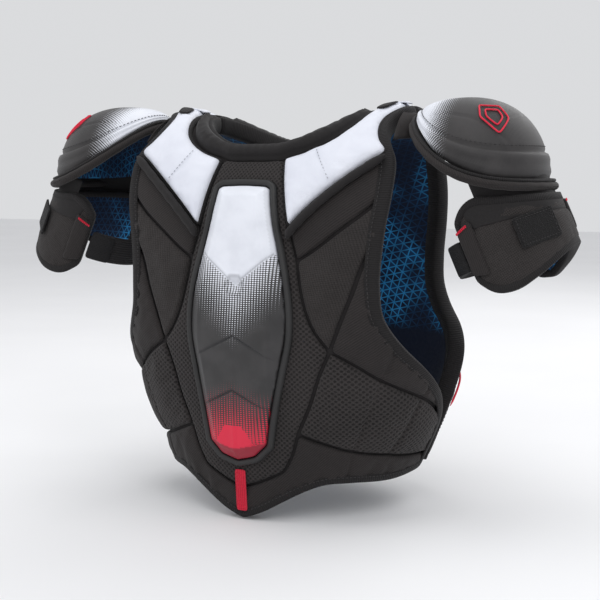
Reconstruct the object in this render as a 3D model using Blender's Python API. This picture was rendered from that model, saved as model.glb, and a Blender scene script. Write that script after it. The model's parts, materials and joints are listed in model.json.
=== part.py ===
"""Ice hockey shoulder pads: chest and back panels that part over the shoulders, a breastbone and
a spine plate, lifting shoulder caps, swinging upper arm guards, and hook-and-loop straps.

Metres, +Z up. The front faces -Y and the wearer's left is +X. The origin is midway between the
shoulders, level with the point beside the neck where the lining bears on the wearer.
"""
from math import cos, pi, radians, sin

import bmesh
import bpy
from mathutils import Matrix, Vector

# ---- driving dimensions ------------------------------------------------------------------
HALF_WIDTH = 0.190  # torso form, side to centre at the chest
FRONT_DEPTH = 0.104  # torso form, centre to breastbone at the chest line
BACK_DEPTH = 0.098
SHOULDER_RISE = 0.110  # chest line up to the top of the shoulder
BODY_DROP = 0.290  # chest line down to the front tip
SHOULDER_FLARE = 0.17  # rise of the shoulder outwards, per metre
FLARE_START = 0.075  # the rise starts this far from the neck centre
FLARE_EASE = 0.020

LINING = 0.0016  # inner mesh lining
FOAM = 0.0085  # base foam of both panels
PAD = 0.0040  # sewn outer pads
YOKE = 0.0110  # padded yokes
COLLAR = 0.0120
FORM_TO_PAD = 0.0034  # outer face of the sewn pads beyond the torso form
LAYER_GAP = 0.0011  # between sewn layers
SEAM = 0.0030  # channel between two outer pads

PLATE_WALL = 0.0030  # breastbone and spine plates
PLATE_RIM = 0.0020  # height of a plate's edge above the outer pads
PLATE_CROWN = 0.0095  # height of its middle above the outer pads
PLATE_BEVEL = 0.0100
BEZEL = 0.0055  # rubber frame round the breastbone plate
BEZEL_WIDTH = 0.0075
TAB_HALF_WIDTH = 0.0062
TAB_TOP, TAB_BOTTOM = -0.245, -0.284  # along the front from the chest line
ROLL_RADIUS = 0.0040  # padded roll below each yoke
ROLL_DROP = 0.038  # height share that it lies below the yoke's edge

CAP_OUTSET = 0.0245  # cap centre beyond the side of the torso form
CAP_FORWARD = 0.011  # and in front of the shoulder line
CAP_HALF_LENGTH = 0.061  # across the shoulder
CAP_HALF_DEPTH = 0.076  # front to back
CAP_HEIGHT = 0.079  # peak above the lowest point of the rim
CAP_RIM = -0.048  # height of the rim at the outer end
CAP_RIM_RISE = 0.063  # the rim climbs this much towards the neck
CAP_RIM_CURVE = 2.5
CAP_PEAK_SHIFT = 0.014  # highest point, towards the neck
CAP_WALL = 0.0035
CAP_FOAM = 0.0080
CAP_ROLL = 0.0050  # radius of the padded edge below the shell

ARM_RADIUS = 0.060  # outer face of the arm guard, sideways
ARM_DEPTH = 0.066  # the same, front to back
ARM_LEAN = 24.0  # degrees that the guard hangs away from the body
ARM_OUTSET = 0.010  # the guard's axis beyond the cap's centre, at its top
ARM_DROP = 0.018  # guard's top below the cap's rim
GUARD_TOP_SHARE = 0.82  # its outer side is cut lower by this share of what the lean lifts it
ARM_LENGTH = 0.090
ARM_FRONT, ARM_BACK = 116.0, -102.0  # edges of the guard, degrees from its outermost line
GUARD_FOAM = 0.0080
CHANNEL = 0.0030  # folded fabric channel at the guard's front edge
CHANNEL_WIDTH = 18.0  # degrees
CHANNEL_TOP, CHANNEL_BOTTOM = 0.022, 0.066
STRAP = 0.0018
STRAP_TOP = 0.030  # elastic arm strap, along the guard's axis
STRAP_WIDTH = 0.032
HOOK_LENGTH = 26.0  # degrees
PATCH_WIDTH = 0.044  # flat loop patch on the guard
PATCH_HEIGHT = 0.030
PATCH = 0.0020
PATCH_TURN = 46.0
PATCH_DROP = 0.046

SIDE_STRAP_TOP, SIDE_STRAP_BOTTOM = -0.655, -0.765  # height shares
FLAP_EDGE = 90.0  # degrees from the centre where the chest panel ends
WING_EDGE = 84.0  # degrees from the centre where the back panel ends
SIDE_STRAP_REACH = 112.0

GIRTH = 0.0021  # metres along the form for one degree of turn, about right everywhere
GRID_ACROSS = 12.0  # degrees between the facets' edges
GRID_UP = BODY_DROP / 6  # metres between them
WELD = 0.0012  # corners closer than this become one
ARM_GRID = 18.0  # degrees between the arm guard's facet edges

FRONT, BACK = -1, 1
SIDES = (("left", 1), ("right", -1))

PAD_TOP = FORM_TO_PAD
PAD_BOTTOM = PAD_TOP - PAD
FOAM_TOP = PAD_BOTTOM - LAYER_GAP
FOAM_BOTTOM = FOAM_TOP - FOAM
LINING_TOP = FOAM_BOTTOM - LAYER_GAP
LINING_BOTTOM = LINING_TOP - LINING
BACK_HINGE = (0, 0, 0.030)  # above the yokes, so that every seam there opens and none closes
CHEST_LINE = -SHOULDER_RISE - LINING_BOTTOM  # puts the lining's shoulder point at height 0
SHOULDER_ARC = SHOULDER_RISE * pi / 2

# Torso form, from the tip up to the chest line: share of the drop, then half width, front depth
# and back depth as shares of the sizes at the chest line, shift to the back, and squareness.
SECTIONS = (
    (1.07, 0.632, 1.173, 1.02, 0.0200, 2.0),
    (0.862, 0.720, 1.212, 1.06, 0.0180, 2.0),
    (0.655, 0.855, 1.212, 1.08, 0.0130, 2.1),
    (0.448, 0.960, 1.154, 1.07, 0.0060, 2.3),
    (0.241, 1.000, 1.077, 1.03, 0.0010, 2.7),
    (0.000, 1.000, 1.000, 1.00, 0.0000, 3.2),
    (-0.448, 1.000, 1.000, 1.00, 0.0000, 3.4),
)

# ---- outlines on the torso form: (degrees from the centre, height share) -----------------
# A height share runs 0 to -1 from the chest line to the tip, and 0 to 1 up to the shoulder top.
NECK = ((0, 0.53), (10, 0.53), (17, 0.54), (26, 0.60), (35, 0.72), (40, 0.86), (41.5, 1))
SHOULDER_EDGE = ((57, 1), (56.5, 0.88), (54.2, 0.75), (54, 0.62), (56, 0.50), (58.3, 0.40))
STRIP_EDGE = ((58.3, 0.40), (59, 0.20))
PECTORAL_EDGE = ((59, 0.20), (57.5, -0.01))
SIDE_EDGE = (
    (57.5, -0.01), (56.3, -0.20), (57.5, -0.29), (60.5, -0.345), (66, -0.41), (73, -0.472),
    (80, -0.535), (86.5, -0.605),
)
FLAP = ((FLAP_EDGE, -0.66), (FLAP_EDGE + 0.8, -0.80))
HEM = (
    (FLAP_EDGE - 1, -0.852), (70, -0.867), (47, -0.862), (38, -0.865), (27, -0.897),
    (18, -0.934), (9, -0.972), (0, -1),
)
COLLAR_EDGE = ((0, 0.415), (10, 0.415), (17, 0.42))
COLLAR_SIDE = ((18.5, 0.43), (31, 0.49), (40, 0.605), (44, 0.73), (46, 0.86), (47, 1))
YOKE_NECK = ((19.2, 0.41), (31.6, 0.475), (40.8, 0.59), (44.8, 0.72), (46.8, 0.86), (47.8, 1))
YOKE_ARM = ((55.8, 1), (55.3, 0.88), (53, 0.75), (52.8, 0.62), (54.8, 0.50), (57, 0.43))
YOKE_LOW = (26, 0.011)
STRIP_SEAM = ((59, 0.20), (54, 0.116), (45.5, 0.0), (35.5, -0.072), (29.4, -0.103))
PECTORAL_SEAM = ((29.4, -0.103), (30.3, -0.17), (33, -0.28), (36, -0.341), (41, -0.40))
SIDE_SEAM = ((57.5, -0.01), (52, -0.12), (49, -0.207), (45, -0.303), (41, -0.40))
FLANK_TOP = ((41, -0.40), (48.5, -0.44), (57.7, -0.497), (64.6, -0.53), (77.4, -0.586))
CENTRE_SEAM = ((41, -0.40), (36, -0.50), (33, -0.576), (27, -0.69))
LOW_SEAM = ((27, -0.69), (36, -0.717), (49, -0.752), (63.5, -0.772), (75, -0.788))
BELLY_SEAM = ((27, -0.69), (24, -0.769), (20, -0.828), (8.5, -0.869), (0, -0.893))

BACK_NECK = ((0, 0.56), (10, 0.56), (20, 0.59), (29, 0.66), (36, 0.77), (40.5, 0.90), (41.5, 1))
BACK_SHOULDER_EDGE = ((57, 1), (57.5, 0.88), (58, 0.72), (59, 0.55), (58.8, 0.40))
BACK_ARMHOLE = (
    (59, 0.20), (58.5, 0.0), (58, -0.12), (59, -0.22), (63, -0.30), (70, -0.37), (77, -0.45),
    (82, -0.54), (WING_EDGE, -0.60),
)
BACK_CORNER = ((WING_EDGE, -0.80), (WING_EDGE - 1.5, -0.845))
GUARD_HEM = (  # degrees from the outermost line, share of the guard's length: a lobe at each end
    (ARM_BACK, 0.80), (ARM_BACK + 8, 0.95), (-78, 1.0), (-60, 0.92), (-30, 0.80), (0, 0.78),
    (30, 0.86), (60, 0.97), (84, 1.02), (100, 0.98), (ARM_FRONT, 0.80),
)
BACK_HEM = ((70, -0.858), (50, -0.862), (25, -0.87), (0, -0.875))
BACK_COLLAR_EDGE = ((0, 0.45), (12, 0.45), (20, 0.465), (23, 0.50))
BACK_COLLAR_SIDE = ((24, 0.53), (33, 0.60), (40.5, 0.71), (45.5, 0.88), (47, 1))
BACK_YOKE_NECK = ((24.8, 0.51), (34, 0.585), (41.5, 0.70), (46.3, 0.875), (47.8, 1))
BACK_YOKE_ARM = ((55.8, 1), (56.3, 0.88), (56.8, 0.72), (57.8, 0.55), (57.6, 0.43))
BACK_YOKE_LOW = (26, 0.16)
SPINE_SEAM = ((26, 0.16), (27, -0.05), (29, -0.22), (29, -0.38), (26, -0.62), (23, -0.72))
BLADE_SEAM = ((63, -0.30), (48, -0.36), (29, -0.38))
KIDNEY_SEAM = ((WING_EDGE, -0.70), (60, -0.69), (26, -0.62))

# ---- outlines on the centre of a panel: (metres from the centre line, metres above the line) --
BEZEL_OUTLINE = (
    (0.0, 0.050), (0.027, 0.049), (0.036, 0.043), (0.0415, 0.012), (0.049, -0.019),
    (0.057, -0.055), (0.060, -0.080), (0.060, -0.102), (0.0525, -0.140), (0.044, -0.180),
    (0.038, -0.215), (0.022, -0.231), (0.0, -0.2375),
)
SPINE_OUTLINE = (
    (0.0, 0.046), (0.026, 0.045), (0.032, 0.036), (0.036, -0.020), (0.043, -0.070),
    (0.037, -0.140), (0.030, -0.178), (0.018, -0.190), (0.0, -0.195),
)


# ---- small helpers -----------------------------------------------------------------------
def clear_scene():
    for item in list(bpy.data.objects):
        bpy.data.objects.remove(item)


def material(name, colour, roughness, metallic=0.0):
    made = bpy.data.materials.new(name)
    made.use_nodes = True
    shader = made.node_tree.nodes["Principled BSDF"]
    shader.inputs["Base Color"].default_value = (*colour, 1)
    shader.inputs["Roughness"].default_value = roughness
    shader.inputs["Metallic"].default_value = metallic
    return made


def finish(bm, name, look):
    """Turns a closed bmesh into a named object with its faces pointing out."""
    bmesh.ops.recalc_face_normals(bm, faces=bm.faces)
    if bm.calc_volume(signed=True) < 0:
        bmesh.ops.reverse_faces(bm, faces=bm.faces)
    mesh = bpy.data.meshes.new(name)
    bm.to_mesh(mesh)
    bm.free()
    mesh.shade_smooth()
    mesh.set_sharp_from_angle(angle=radians(40))
    mesh.materials.append(look)
    made = bpy.data.objects.new(name, mesh)
    bpy.context.scene.collection.objects.link(made)
    return made


def hinge_empty(name, place, pieces):
    """An empty on a joint's axis that carries the pieces turning with it."""
    empty = bpy.data.objects.new(name, None)
    empty.location = place
    bpy.context.scene.collection.objects.link(empty)
    for piece in pieces:
        piece.parent = empty
        piece.matrix_parent_inverse = Matrix.Translation(-Vector(place))
    return empty


def backwards(points):
    return tuple(reversed(points))


def both_sides(half):
    """A half outline from the centre line to the centre line, completed on the other side."""
    other = [(-across, up) for across, up in reversed(half) if across > 0]
    return list(half) + other


def on_side(outline, hand):
    return [(hand * across, up) for across, up in outline]


# ---- surfaces ----------------------------------------------------------------------------
def section_at(drop):
    """Sizes of the torso form at a share of the drop below the chest line, on a smooth curve."""
    rows = SECTIONS
    drop = min(max(drop, rows[-1][0]), rows[0][0])
    low = next(k for k in range(len(rows) - 1) if drop >= rows[k + 1][0])
    start, end = rows[low], rows[low + 1]
    before, after = rows[max(low - 1, 0)], rows[min(low + 2, len(rows) - 1)]
    span = end[0] - start[0]
    t = (drop - start[0]) / span
    found = []
    for column in range(1, 6):
        leave = (end[column] - before[column]) / (end[0] - before[0]) * span
        arrive = (after[column] - start[column]) / (after[0] - start[0]) * span
        value = (2 * t**3 - 3 * t**2 + 1) * start[column] + (t**3 - 2 * t**2 + t) * leave
        value += (3 * t**2 - 2 * t**3) * end[column] + (t**3 - t**2) * arrive
        found.append(value)
    return found


class Torso:
    """The torso form's front or back. A flat place on it is (degrees as metres, height)."""

    grid = (GRID_ACROSS * GIRTH, GRID_UP)

    def __init__(self, side):
        self.side = side

    def flat(self, degrees, share):
        return degrees * GIRTH, share * (SHOULDER_ARC if share > 0 else BODY_DROP)

    def point(self, degrees, height):
        rise = max(height, 0) / SHOULDER_RISE
        drop = -min(height, 0) / BODY_DROP - 0.448 * min(rise, 1)
        width, front, back, shift, square = section_at(drop)
        depths = {FRONT: front * FRONT_DEPTH, BACK: back * BACK_DEPTH}
        s, c = sin(radians(degrees)), cos(radians(degrees))
        near = depths[self.side] if c > 0 else depths[-self.side]
        far = depths[-self.side] if c > 0 else depths[self.side]
        closing = cos(rise)
        depth = near * (1 + closing) / 2 + far * (1 - closing) / 2
        a = width * HALF_WIDTH
        radius = (abs(s / a) ** square + abs(c / depth) ** square) ** (-1 / square)
        beyond = max(0, abs(radius * s) - FLARE_START)
        flare = SHOULDER_FLARE * beyond * beyond / (beyond + FLARE_EASE) * sin(rise)
        z = CHEST_LINE + SHOULDER_RISE * sin(rise) + min(height, 0) + flare
        return Vector((radius * s, shift + self.side * radius * c * closing, z))

    def place(self, x, height, offset):
        degrees = x / GIRTH
        across = self.point(degrees + 0.4, height) - self.point(degrees - 0.4, height)
        up = self.point(degrees, height + 0.0008) - self.point(degrees, height - 0.0008)
        normal = across.cross(up).normalized() * -self.side
        return self.point(degrees, height) + normal * offset


class Centre(Torso):
    """The same form, measured in metres from its centre line."""

    def flat(self, across, height):
        return across, height

    def place(self, x, height, offset):
        low, high = -70.0, 70.0
        for _ in range(30):
            middle = (low + high) / 2
            if self.point(middle, height).x < x:
                low = middle
            else:
                high = middle
        return super().place(low * GIRTH, height, offset)


ARM_TOP = CAP_RIM - ARM_DROP
ARM_X = HALF_WIDTH + CAP_OUTSET + ARM_OUTSET
ARM_DOWN = Vector((sin(radians(ARM_LEAN)), 0, -cos(radians(ARM_LEAN))))
ARM_OUT = Vector((cos(radians(ARM_LEAN)), 0, sin(radians(ARM_LEAN))))
ARM_GIRTH = radians(1) * (ARM_RADIUS + ARM_DEPTH) / 2
ARM_TOP_DIP = GUARD_TOP_SHARE * ARM_RADIUS * sin(radians(ARM_LEAN))


class Guard:
    """The arm guard's outer face: (degrees from outermost towards the front, distance down)."""

    grid = (ARM_GRID * ARM_GIRTH, ARM_LENGTH)

    def __init__(self, hand):
        self.hand = hand

    def flat(self, degrees, along):
        return degrees * ARM_GIRTH, along

    def place(self, x, along, offset):
        turn = x / ARM_GIRTH
        point = Vector((ARM_X, -CAP_FORWARD, ARM_TOP)) + ARM_DOWN * along
        point += ARM_OUT * (ARM_RADIUS + offset) * cos(radians(turn))
        point.y -= (ARM_DEPTH + offset) * sin(radians(turn))
        return Vector((self.hand * point.x, point.y, point.z))


def cap_point(hand, turn, t, inset, sink=0.0):
    """Point of the shoulder cap's dome: turn from its outer end, t from the peak to the rim."""
    centre = HALF_WIDTH + CAP_OUTSET
    rim_z = CAP_RIM + CAP_RIM_RISE * ((1 - cos(turn)) / 2) ** CAP_RIM_CURVE
    peak_z = CAP_RIM + CAP_HEIGHT - inset
    reach = sin(t * pi / 2) ** 0.9
    fall = cos(t * pi / 2) ** 0.9 if t < 1 else 0.0
    x = centre + (CAP_HALF_LENGTH - inset) * cos(turn) * reach - CAP_PEAK_SHIFT * (1 - reach)
    y = -CAP_FORWARD - (CAP_HALF_DEPTH - inset) * sin(turn) * reach
    z = rim_z + (peak_z - rim_z) * fall - sink
    return Vector((hand * x, y, z))


# ---- builders ----------------------------------------------------------------------------
def flat_region(surface, outline, inset, bevel):
    """One flat face from an outline, drawn in by a margin, with a border ring if it has a bevel."""
    bm = bmesh.new()
    face = bm.faces.new([bm.verts.new((*surface.flat(*place), 0)) for place in outline])
    bm.normal_update()
    even = {"use_boundary": True, "use_even_offset": True}
    bmesh.ops.inset_region(bm, faces=[face], thickness=inset, **even)
    rim = [other for other in bm.faces if other != face]
    bmesh.ops.delete(bm, geom=rim, context="FACES")
    border = [v.co.xy.copy() for v in face.verts]
    if bevel:
        bmesh.ops.inset_region(bm, faces=[face], thickness=bevel, **even)
    return bm, border


def cut_by_grid(bm, steps):
    """Cuts into triangles that all layers share, so that their facets lie flat on each other."""
    across, up = Vector((1 / steps[0], 0, 0)), Vector((0, 1 / steps[1], 0))
    for normal in (across, up, across + up):
        places = [v.co.dot(normal) for v in bm.verts]
        for k in range(int(min(places)) - 1, int(max(places)) + 2):
            at = normal * k / normal.length_squared
            everything = bm.verts[:] + bm.edges[:] + bm.faces[:]
            bmesh.ops.bisect_plane(bm, geom=everything, plane_co=at, plane_no=normal, dist=1e-6)
    bmesh.ops.remove_doubles(bm, verts=bm.verts, dist=WELD)


def distance_inside(border, x, y):
    """Distance from a flat place to the nearest edge of a border."""
    here = Vector((x, y))
    best = 1.0
    for start, end in zip(border, border[1:] + border[:1]):
        run = end - start
        t = min(1, max(0, (here - start).dot(run) / run.length_squared))
        best = min(best, (start + run * t - here).length)
    return best


def panel(name, surface, outline, low, high, look, inset=SEAM / 2, bevel=0.0, crown=0.0):
    """A layer: a flat outline given thickness and bent on to a surface, raised inside a bevel."""
    bm, border = flat_region(surface, outline, inset, bevel)
    cut_by_grid(bm, surface.grid)
    bmesh.ops.triangulate(bm, faces=bm.faces[:])
    grown = bmesh.ops.extrude_face_region(bm, geom=bm.faces[:], use_keep_orig=True)
    tops = {item for item in grown["geom"] if isinstance(item, bmesh.types.BMVert)}
    for v in bm.verts:
        lift = crown * min(1, distance_inside(border, v.co.x, v.co.y) / bevel) if bevel else 0
        v.co = surface.place(v.co.x, v.co.y, (high if v in tops else low) + lift)
    return finish(bm, name, look)


def tube(name, path, radius, look, sides=8, closed=False):
    """A padded roll or cord along a path."""
    curve = bpy.data.curves.new(name + "_path", "CURVE")
    curve.dimensions = "3D"
    curve.bevel_depth = radius
    curve.bevel_resolution = sides // 2 - 2
    curve.use_fill_caps = True
    curve.materials.append(look)
    line = curve.splines.new("POLY")
    line.points.add(len(path) - 1)
    line.use_cyclic_u = closed
    for point, place in zip(line.points, path):
        point.co = (*place, 1)
    made = bpy.data.objects.new(name, curve)
    bpy.context.scene.collection.objects.link(made)
    return made


def dome(name, hand, outer, inner, look, turns=22, rings=5):
    """A shell between two insets of the shoulder cap's surface."""
    bm = bmesh.new()
    skins = []
    for inset in (outer, inner):
        peak = bm.verts.new(cap_point(hand, 0, 0, inset))
        rows = []
        for ring in range(1, rings + 1):
            angles = [2 * pi * k / turns for k in range(turns)]
            rows.append([bm.verts.new(cap_point(hand, a, ring / rings, inset)) for a in angles])
        for k in range(turns):
            after = (k + 1) % turns
            bm.faces.new((peak, rows[0][k], rows[0][after]))
            for upper, lower in zip(rows, rows[1:]):
                bm.faces.new((upper[k], lower[k], lower[after], upper[after]))
        skins.append(rows[-1])
    for k in range(turns):
        after = (k + 1) % turns
        bm.faces.new((skins[0][k], skins[1][k], skins[1][after], skins[0][after]))
    return finish(bm, name, look)


def flat_plate(name, centre, right, up, width, height, thickness, look):
    """A rectangular plate standing on a centre point."""
    bm = bmesh.new()
    out = right.cross(up).normalized()
    for level in (0, thickness):
        for a, b in ((-1, -1), (1, -1), (1, 1), (-1, 1)):
            bm.verts.new(centre + right * a * width / 2 + up * b * height / 2 + out * level)
    bm.verts.ensure_lookup_table()
    base, top = bm.verts[:4], bm.verts[4:]
    bm.faces.new(base)
    bm.faces.new(top)
    for k in range(4):
        bm.faces.new((base[k], base[(k + 1) % 4], top[(k + 1) % 4], top[k]))
    return finish(bm, name, look)


# ---- sub-parts ---------------------------------------------------------------------------
def chest(looks):
    front = Torso(FRONT)
    edge = SHOULDER_EDGE + STRIP_EDGE[1:] + PECTORAL_EDGE[1:] + SIDE_EDGE[1:] + FLAP + HEM
    whole = both_sides(NECK + edge)
    panel("chest_foam", front, whole, FOAM_BOTTOM, FOAM_TOP, looks["foam"])
    panel("chest_lining", front, whole, LINING_BOTTOM, LINING_TOP, looks["lining"], inset=SEAM)
    centre = COLLAR_EDGE + (YOKE_NECK[0], YOKE_LOW) + PECTORAL_SEAM + CENTRE_SEAM[1:] + BELLY_SEAM[1:]
    panel("centre_mesh_panel", front, both_sides(centre), PAD_BOTTOM, PAD_TOP, looks["mesh"])
    belly = backwards(BELLY_SEAM) + LOW_SEAM[1:] + FLAP[1:] + HEM
    panel("belly_panel", front, both_sides(belly), PAD_BOTTOM, PAD_TOP, looks["fabric"])
    collar = both_sides(NECK + backwards(COLLAR_SIDE) + backwards(COLLAR_EDGE))
    panel("collar_front", front, collar, PAD_BOTTOM, PAD_BOTTOM + COLLAR, looks["neoprene"])
    yoke = YOKE_NECK + YOKE_ARM + (YOKE_LOW,)
    strip = (YOKE_LOW, YOKE_ARM[-1]) + STRIP_EDGE + STRIP_SEAM[1:]
    pectoral = backwards(STRIP_SEAM) + PECTORAL_EDGE[1:] + SIDE_SEAM[1:] + backwards(PECTORAL_SEAM)[1:-1]
    side = SIDE_EDGE + ((88, -0.645),) + backwards(FLANK_TOP) + backwards(SIDE_SEAM)[1:-1]
    flank = FLANK_TOP + FLAP + backwards(LOW_SEAM) + backwards(CENTRE_SEAM)[1:-1]
    patch = ((60, SIDE_STRAP_TOP), (88, SIDE_STRAP_TOP), (88, SIDE_STRAP_BOTTOM), (60, SIDE_STRAP_BOTTOM))
    for label, hand in SIDES:
        yoke_top = PAD_BOTTOM + YOKE
        panel("yoke_front_" + label, front, on_side(yoke, hand), PAD_BOTTOM, yoke_top, looks["leather"])
        panel("shoulder_strip_" + label, front, on_side(strip, hand), PAD_BOTTOM, PAD_TOP, looks["fabric"])
        panel("pectoral_pad_" + label, front, on_side(pectoral, hand), PAD_BOTTOM, PAD_TOP, looks["weave"])
        panel("side_pad_" + label, front, on_side(side, hand), PAD_BOTTOM, PAD_TOP, looks["fabric"])
        panel("flank_pad_" + label, front, on_side(flank, hand), PAD_BOTTOM, PAD_TOP, looks["mesh"])
        landing_top = LINING_BOTTOM - 2 * LAYER_GAP
        panel(
            "strap_landing_" + label, front, on_side(patch, hand),
            landing_top - STRAP, landing_top, looks["loop"],
        )
        low, high = Vector(YOKE_LOW), Vector(YOKE_ARM[-1])
        path = []
        for k in range(9):
            across, up = low.lerp(high, k / 8) - Vector((0, ROLL_DROP))
            path.append(front.place(*front.flat(hand * across, up), PAD_TOP + ROLL_RADIUS + LAYER_GAP))
        tube("yoke_roll_" + label, path, ROLL_RADIUS, looks["neoprene"], sides=6)


def breastbone(looks):
    """Rubber frame, foam core and moulded plate on the centre panel, and the tab at the tip."""
    front = Centre(FRONT)
    ground = PAD_TOP + LAYER_GAP
    outline = both_sides(BEZEL_OUTLINE)
    plate_inset = BEZEL_WIDTH + LAYER_GAP
    core_inset = plate_inset + PLATE_BEVEL
    frame_ring(front, outline, ground, looks)
    core_top = ground + PLATE_CROWN - PLATE_WALL - 2 * LAYER_GAP
    panel("breastbone_core", front, outline, ground, core_top, looks["foam"], inset=core_inset)
    panel(
        "breastbone_plate", front, outline, ground + PLATE_RIM - PLATE_WALL / 2,
        ground + PLATE_RIM + PLATE_WALL / 2, looks["plastic"],
        inset=plate_inset, bevel=PLATE_BEVEL, crown=PLATE_CROWN - PLATE_RIM - PLATE_WALL / 2,
    )
    w = TAB_HALF_WIDTH
    tab = ((-w, TAB_TOP), (w, TAB_TOP), (w, TAB_BOTTOM), (-w, TAB_BOTTOM))
    panel("hem_tab", front, tab, ground, ground + STRAP, looks["red"], inset=LAYER_GAP / 4)


def frame_ring(surface, outline, ground, looks):
    """The frame round the breastbone plate: a ring between its outline and the plate."""
    bm, _ = flat_region(surface, outline, LAYER_GAP, BEZEL_WIDTH - LAYER_GAP)
    middle = max(bm.faces, key=lambda face: face.calc_area())
    bmesh.ops.delete(bm, geom=[middle], context="FACES")
    cut_by_grid(bm, surface.grid)
    bmesh.ops.triangulate(bm, faces=bm.faces[:])
    grown = bmesh.ops.extrude_face_region(bm, geom=bm.faces[:], use_keep_orig=True)
    tops = {item for item in grown["geom"] if isinstance(item, bmesh.types.BMVert)}
    for v in bm.verts:
        v.co = surface.place(v.co.x, v.co.y, ground + (BEZEL if v in tops else 0))
    finish(bm, "breastbone_frame", looks["rubber"])


def back(looks):
    rear = Torso(BACK)
    whole = both_sides(BACK_NECK + BACK_SHOULDER_EDGE + BACK_ARMHOLE + BACK_CORNER + BACK_HEM)
    collar = both_sides(BACK_NECK + backwards(BACK_COLLAR_SIDE) + backwards(BACK_COLLAR_EDGE))
    centre = BACK_COLLAR_EDGE + SPINE_SEAM + ((0, -0.72),)
    kidney = ((0, -0.72), SPINE_SEAM[-1]) + backwards(KIDNEY_SEAM) + BACK_CORNER + BACK_HEM
    made = [
        panel("back_foam", rear, whole, FOAM_BOTTOM, FOAM_TOP, looks["foam"]),
        panel("back_lining", rear, whole, LINING_BOTTOM, LINING_TOP, looks["lining"], inset=SEAM),
        panel("collar_back", rear, collar, PAD_BOTTOM, PAD_BOTTOM + COLLAR, looks["neoprene"]),
        panel("spine_mesh_panel", rear, both_sides(centre), PAD_BOTTOM, PAD_TOP, looks["mesh"]),
        panel("kidney_pad", rear, both_sides(kidney), PAD_BOTTOM, PAD_TOP, looks["fabric"]),
    ]
    yoke = BACK_YOKE_NECK + BACK_YOKE_ARM + (BACK_YOKE_LOW,)
    blade = (SPINE_SEAM[0], BACK_YOKE_ARM[-1], BACK_SHOULDER_EDGE[-1]) + BACK_ARMHOLE[:5] + BLADE_SEAM[1:]
    blade += ((29, -0.22), (27, -0.05))
    wing = backwards(BLADE_SEAM) + BACK_ARMHOLE[5:] + KIDNEY_SEAM
    for label, hand in SIDES:
        yoke_top = PAD_BOTTOM + YOKE
        made += [
            panel("yoke_back_" + label, rear, on_side(yoke, hand), PAD_BOTTOM, yoke_top, looks["leather"]),
            panel("blade_pad_" + label, rear, on_side(blade, hand), PAD_BOTTOM, PAD_TOP, looks["weave"]),
            panel("wing_pad_" + label, rear, on_side(wing, hand), PAD_BOTTOM, PAD_TOP, looks["fabric"]),
        ]
    middle = Centre(BACK)
    ground = PAD_TOP + LAYER_GAP
    outline = both_sides(SPINE_OUTLINE)
    core_top = ground + PLATE_CROWN - PLATE_WALL - 2 * LAYER_GAP
    inset = LAYER_GAP + PLATE_BEVEL
    made.append(panel("spine_core", middle, outline, ground, core_top, looks["foam"], inset=inset))
    made.append(
        panel(
            "spine_plate", middle, outline, ground + PLATE_RIM - PLATE_WALL / 2,
            ground + PLATE_RIM + PLATE_WALL / 2, looks["black_plastic"],
            inset=LAYER_GAP, bevel=PLATE_BEVEL, crown=PLATE_CROWN - PLATE_RIM - PLATE_WALL / 2,
        )
    )
    hinge_empty("back_panel", BACK_HINGE, made)


def side_strap(label, hand, looks):
    """Elastic from the back panel's edge, with a hook tab that grips inside the chest panel."""
    rear = Torso(BACK)
    top, bottom = SIDE_STRAP_TOP - 0.012, SIDE_STRAP_BOTTOM + 0.012
    tab_top = LINING_BOTTOM - 3 * LAYER_GAP - STRAP
    elastic_top = tab_top - STRAP - LAYER_GAP
    far = SIDE_STRAP_REACH
    elastic = ((WING_EDGE - 0.5, top), (far, top), (far, bottom), (WING_EDGE - 0.5, bottom))
    tab = ((far - 16, top), (far, top), (far, bottom), (far - 16, bottom))
    made = [
        panel(
            "side_elastic_" + label, rear, on_side(elastic, hand),
            elastic_top - STRAP, elastic_top, looks["elastic"], inset=LAYER_GAP / 2,
        ),
        panel(
            "side_hook_tab_" + label, rear, on_side(tab, hand),
            tab_top - STRAP, tab_top, looks["hook"], inset=LAYER_GAP / 2,
        ),
    ]
    hinge_empty("side_strap_" + label, side_hinge(hand), made)


def side_hinge(hand):
    rear = Torso(BACK)
    place = rear.flat(hand * WING_EDGE, (SIDE_STRAP_TOP + SIDE_STRAP_BOTTOM) / 2)
    return rear.place(*place, LINING_BOTTOM - 2 * STRAP - 4 * LAYER_GAP)


def cap(label, hand, looks):
    foam_outer = CAP_WALL + LAYER_GAP
    angles = [2 * pi * k / 26 for k in range(26)]
    spread = CAP_ROLL + LAYER_GAP
    path = [cap_point(hand, a, 1, -0.6 * spread, sink=spread) for a in angles]
    made = [
        dome("cap_shell_" + label, hand, 0, CAP_WALL, looks["black_plastic"]),
        dome("cap_foam_" + label, hand, foam_outer, foam_outer + CAP_FOAM, looks["foam"]),
        tube("cap_edge_" + label, path, CAP_ROLL, looks["fabric"], sides=6, closed=True),
    ]
    hinge_empty("cap_" + label, cap_hinge(hand), made)


def cap_hinge(hand):
    """Above the inner end of the cap, where the shoulder strap folds."""
    return cap_point(hand, pi, 1, -2 * CAP_ROLL, sink=-CAP_ROLL)


def cap_strap(label, hand, looks):
    """Short web from under the yoke towards the cap's inner end."""
    front = Torso(FRONT)
    web = ((49, 0.95), (55, 0.95), (53, 0.80), (48, 0.80))
    top = PAD_BOTTOM + YOKE + LAYER_GAP
    panel("cap_strap_" + label, front, on_side(web, hand), top, top + STRAP, looks["webbing"])


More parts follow.
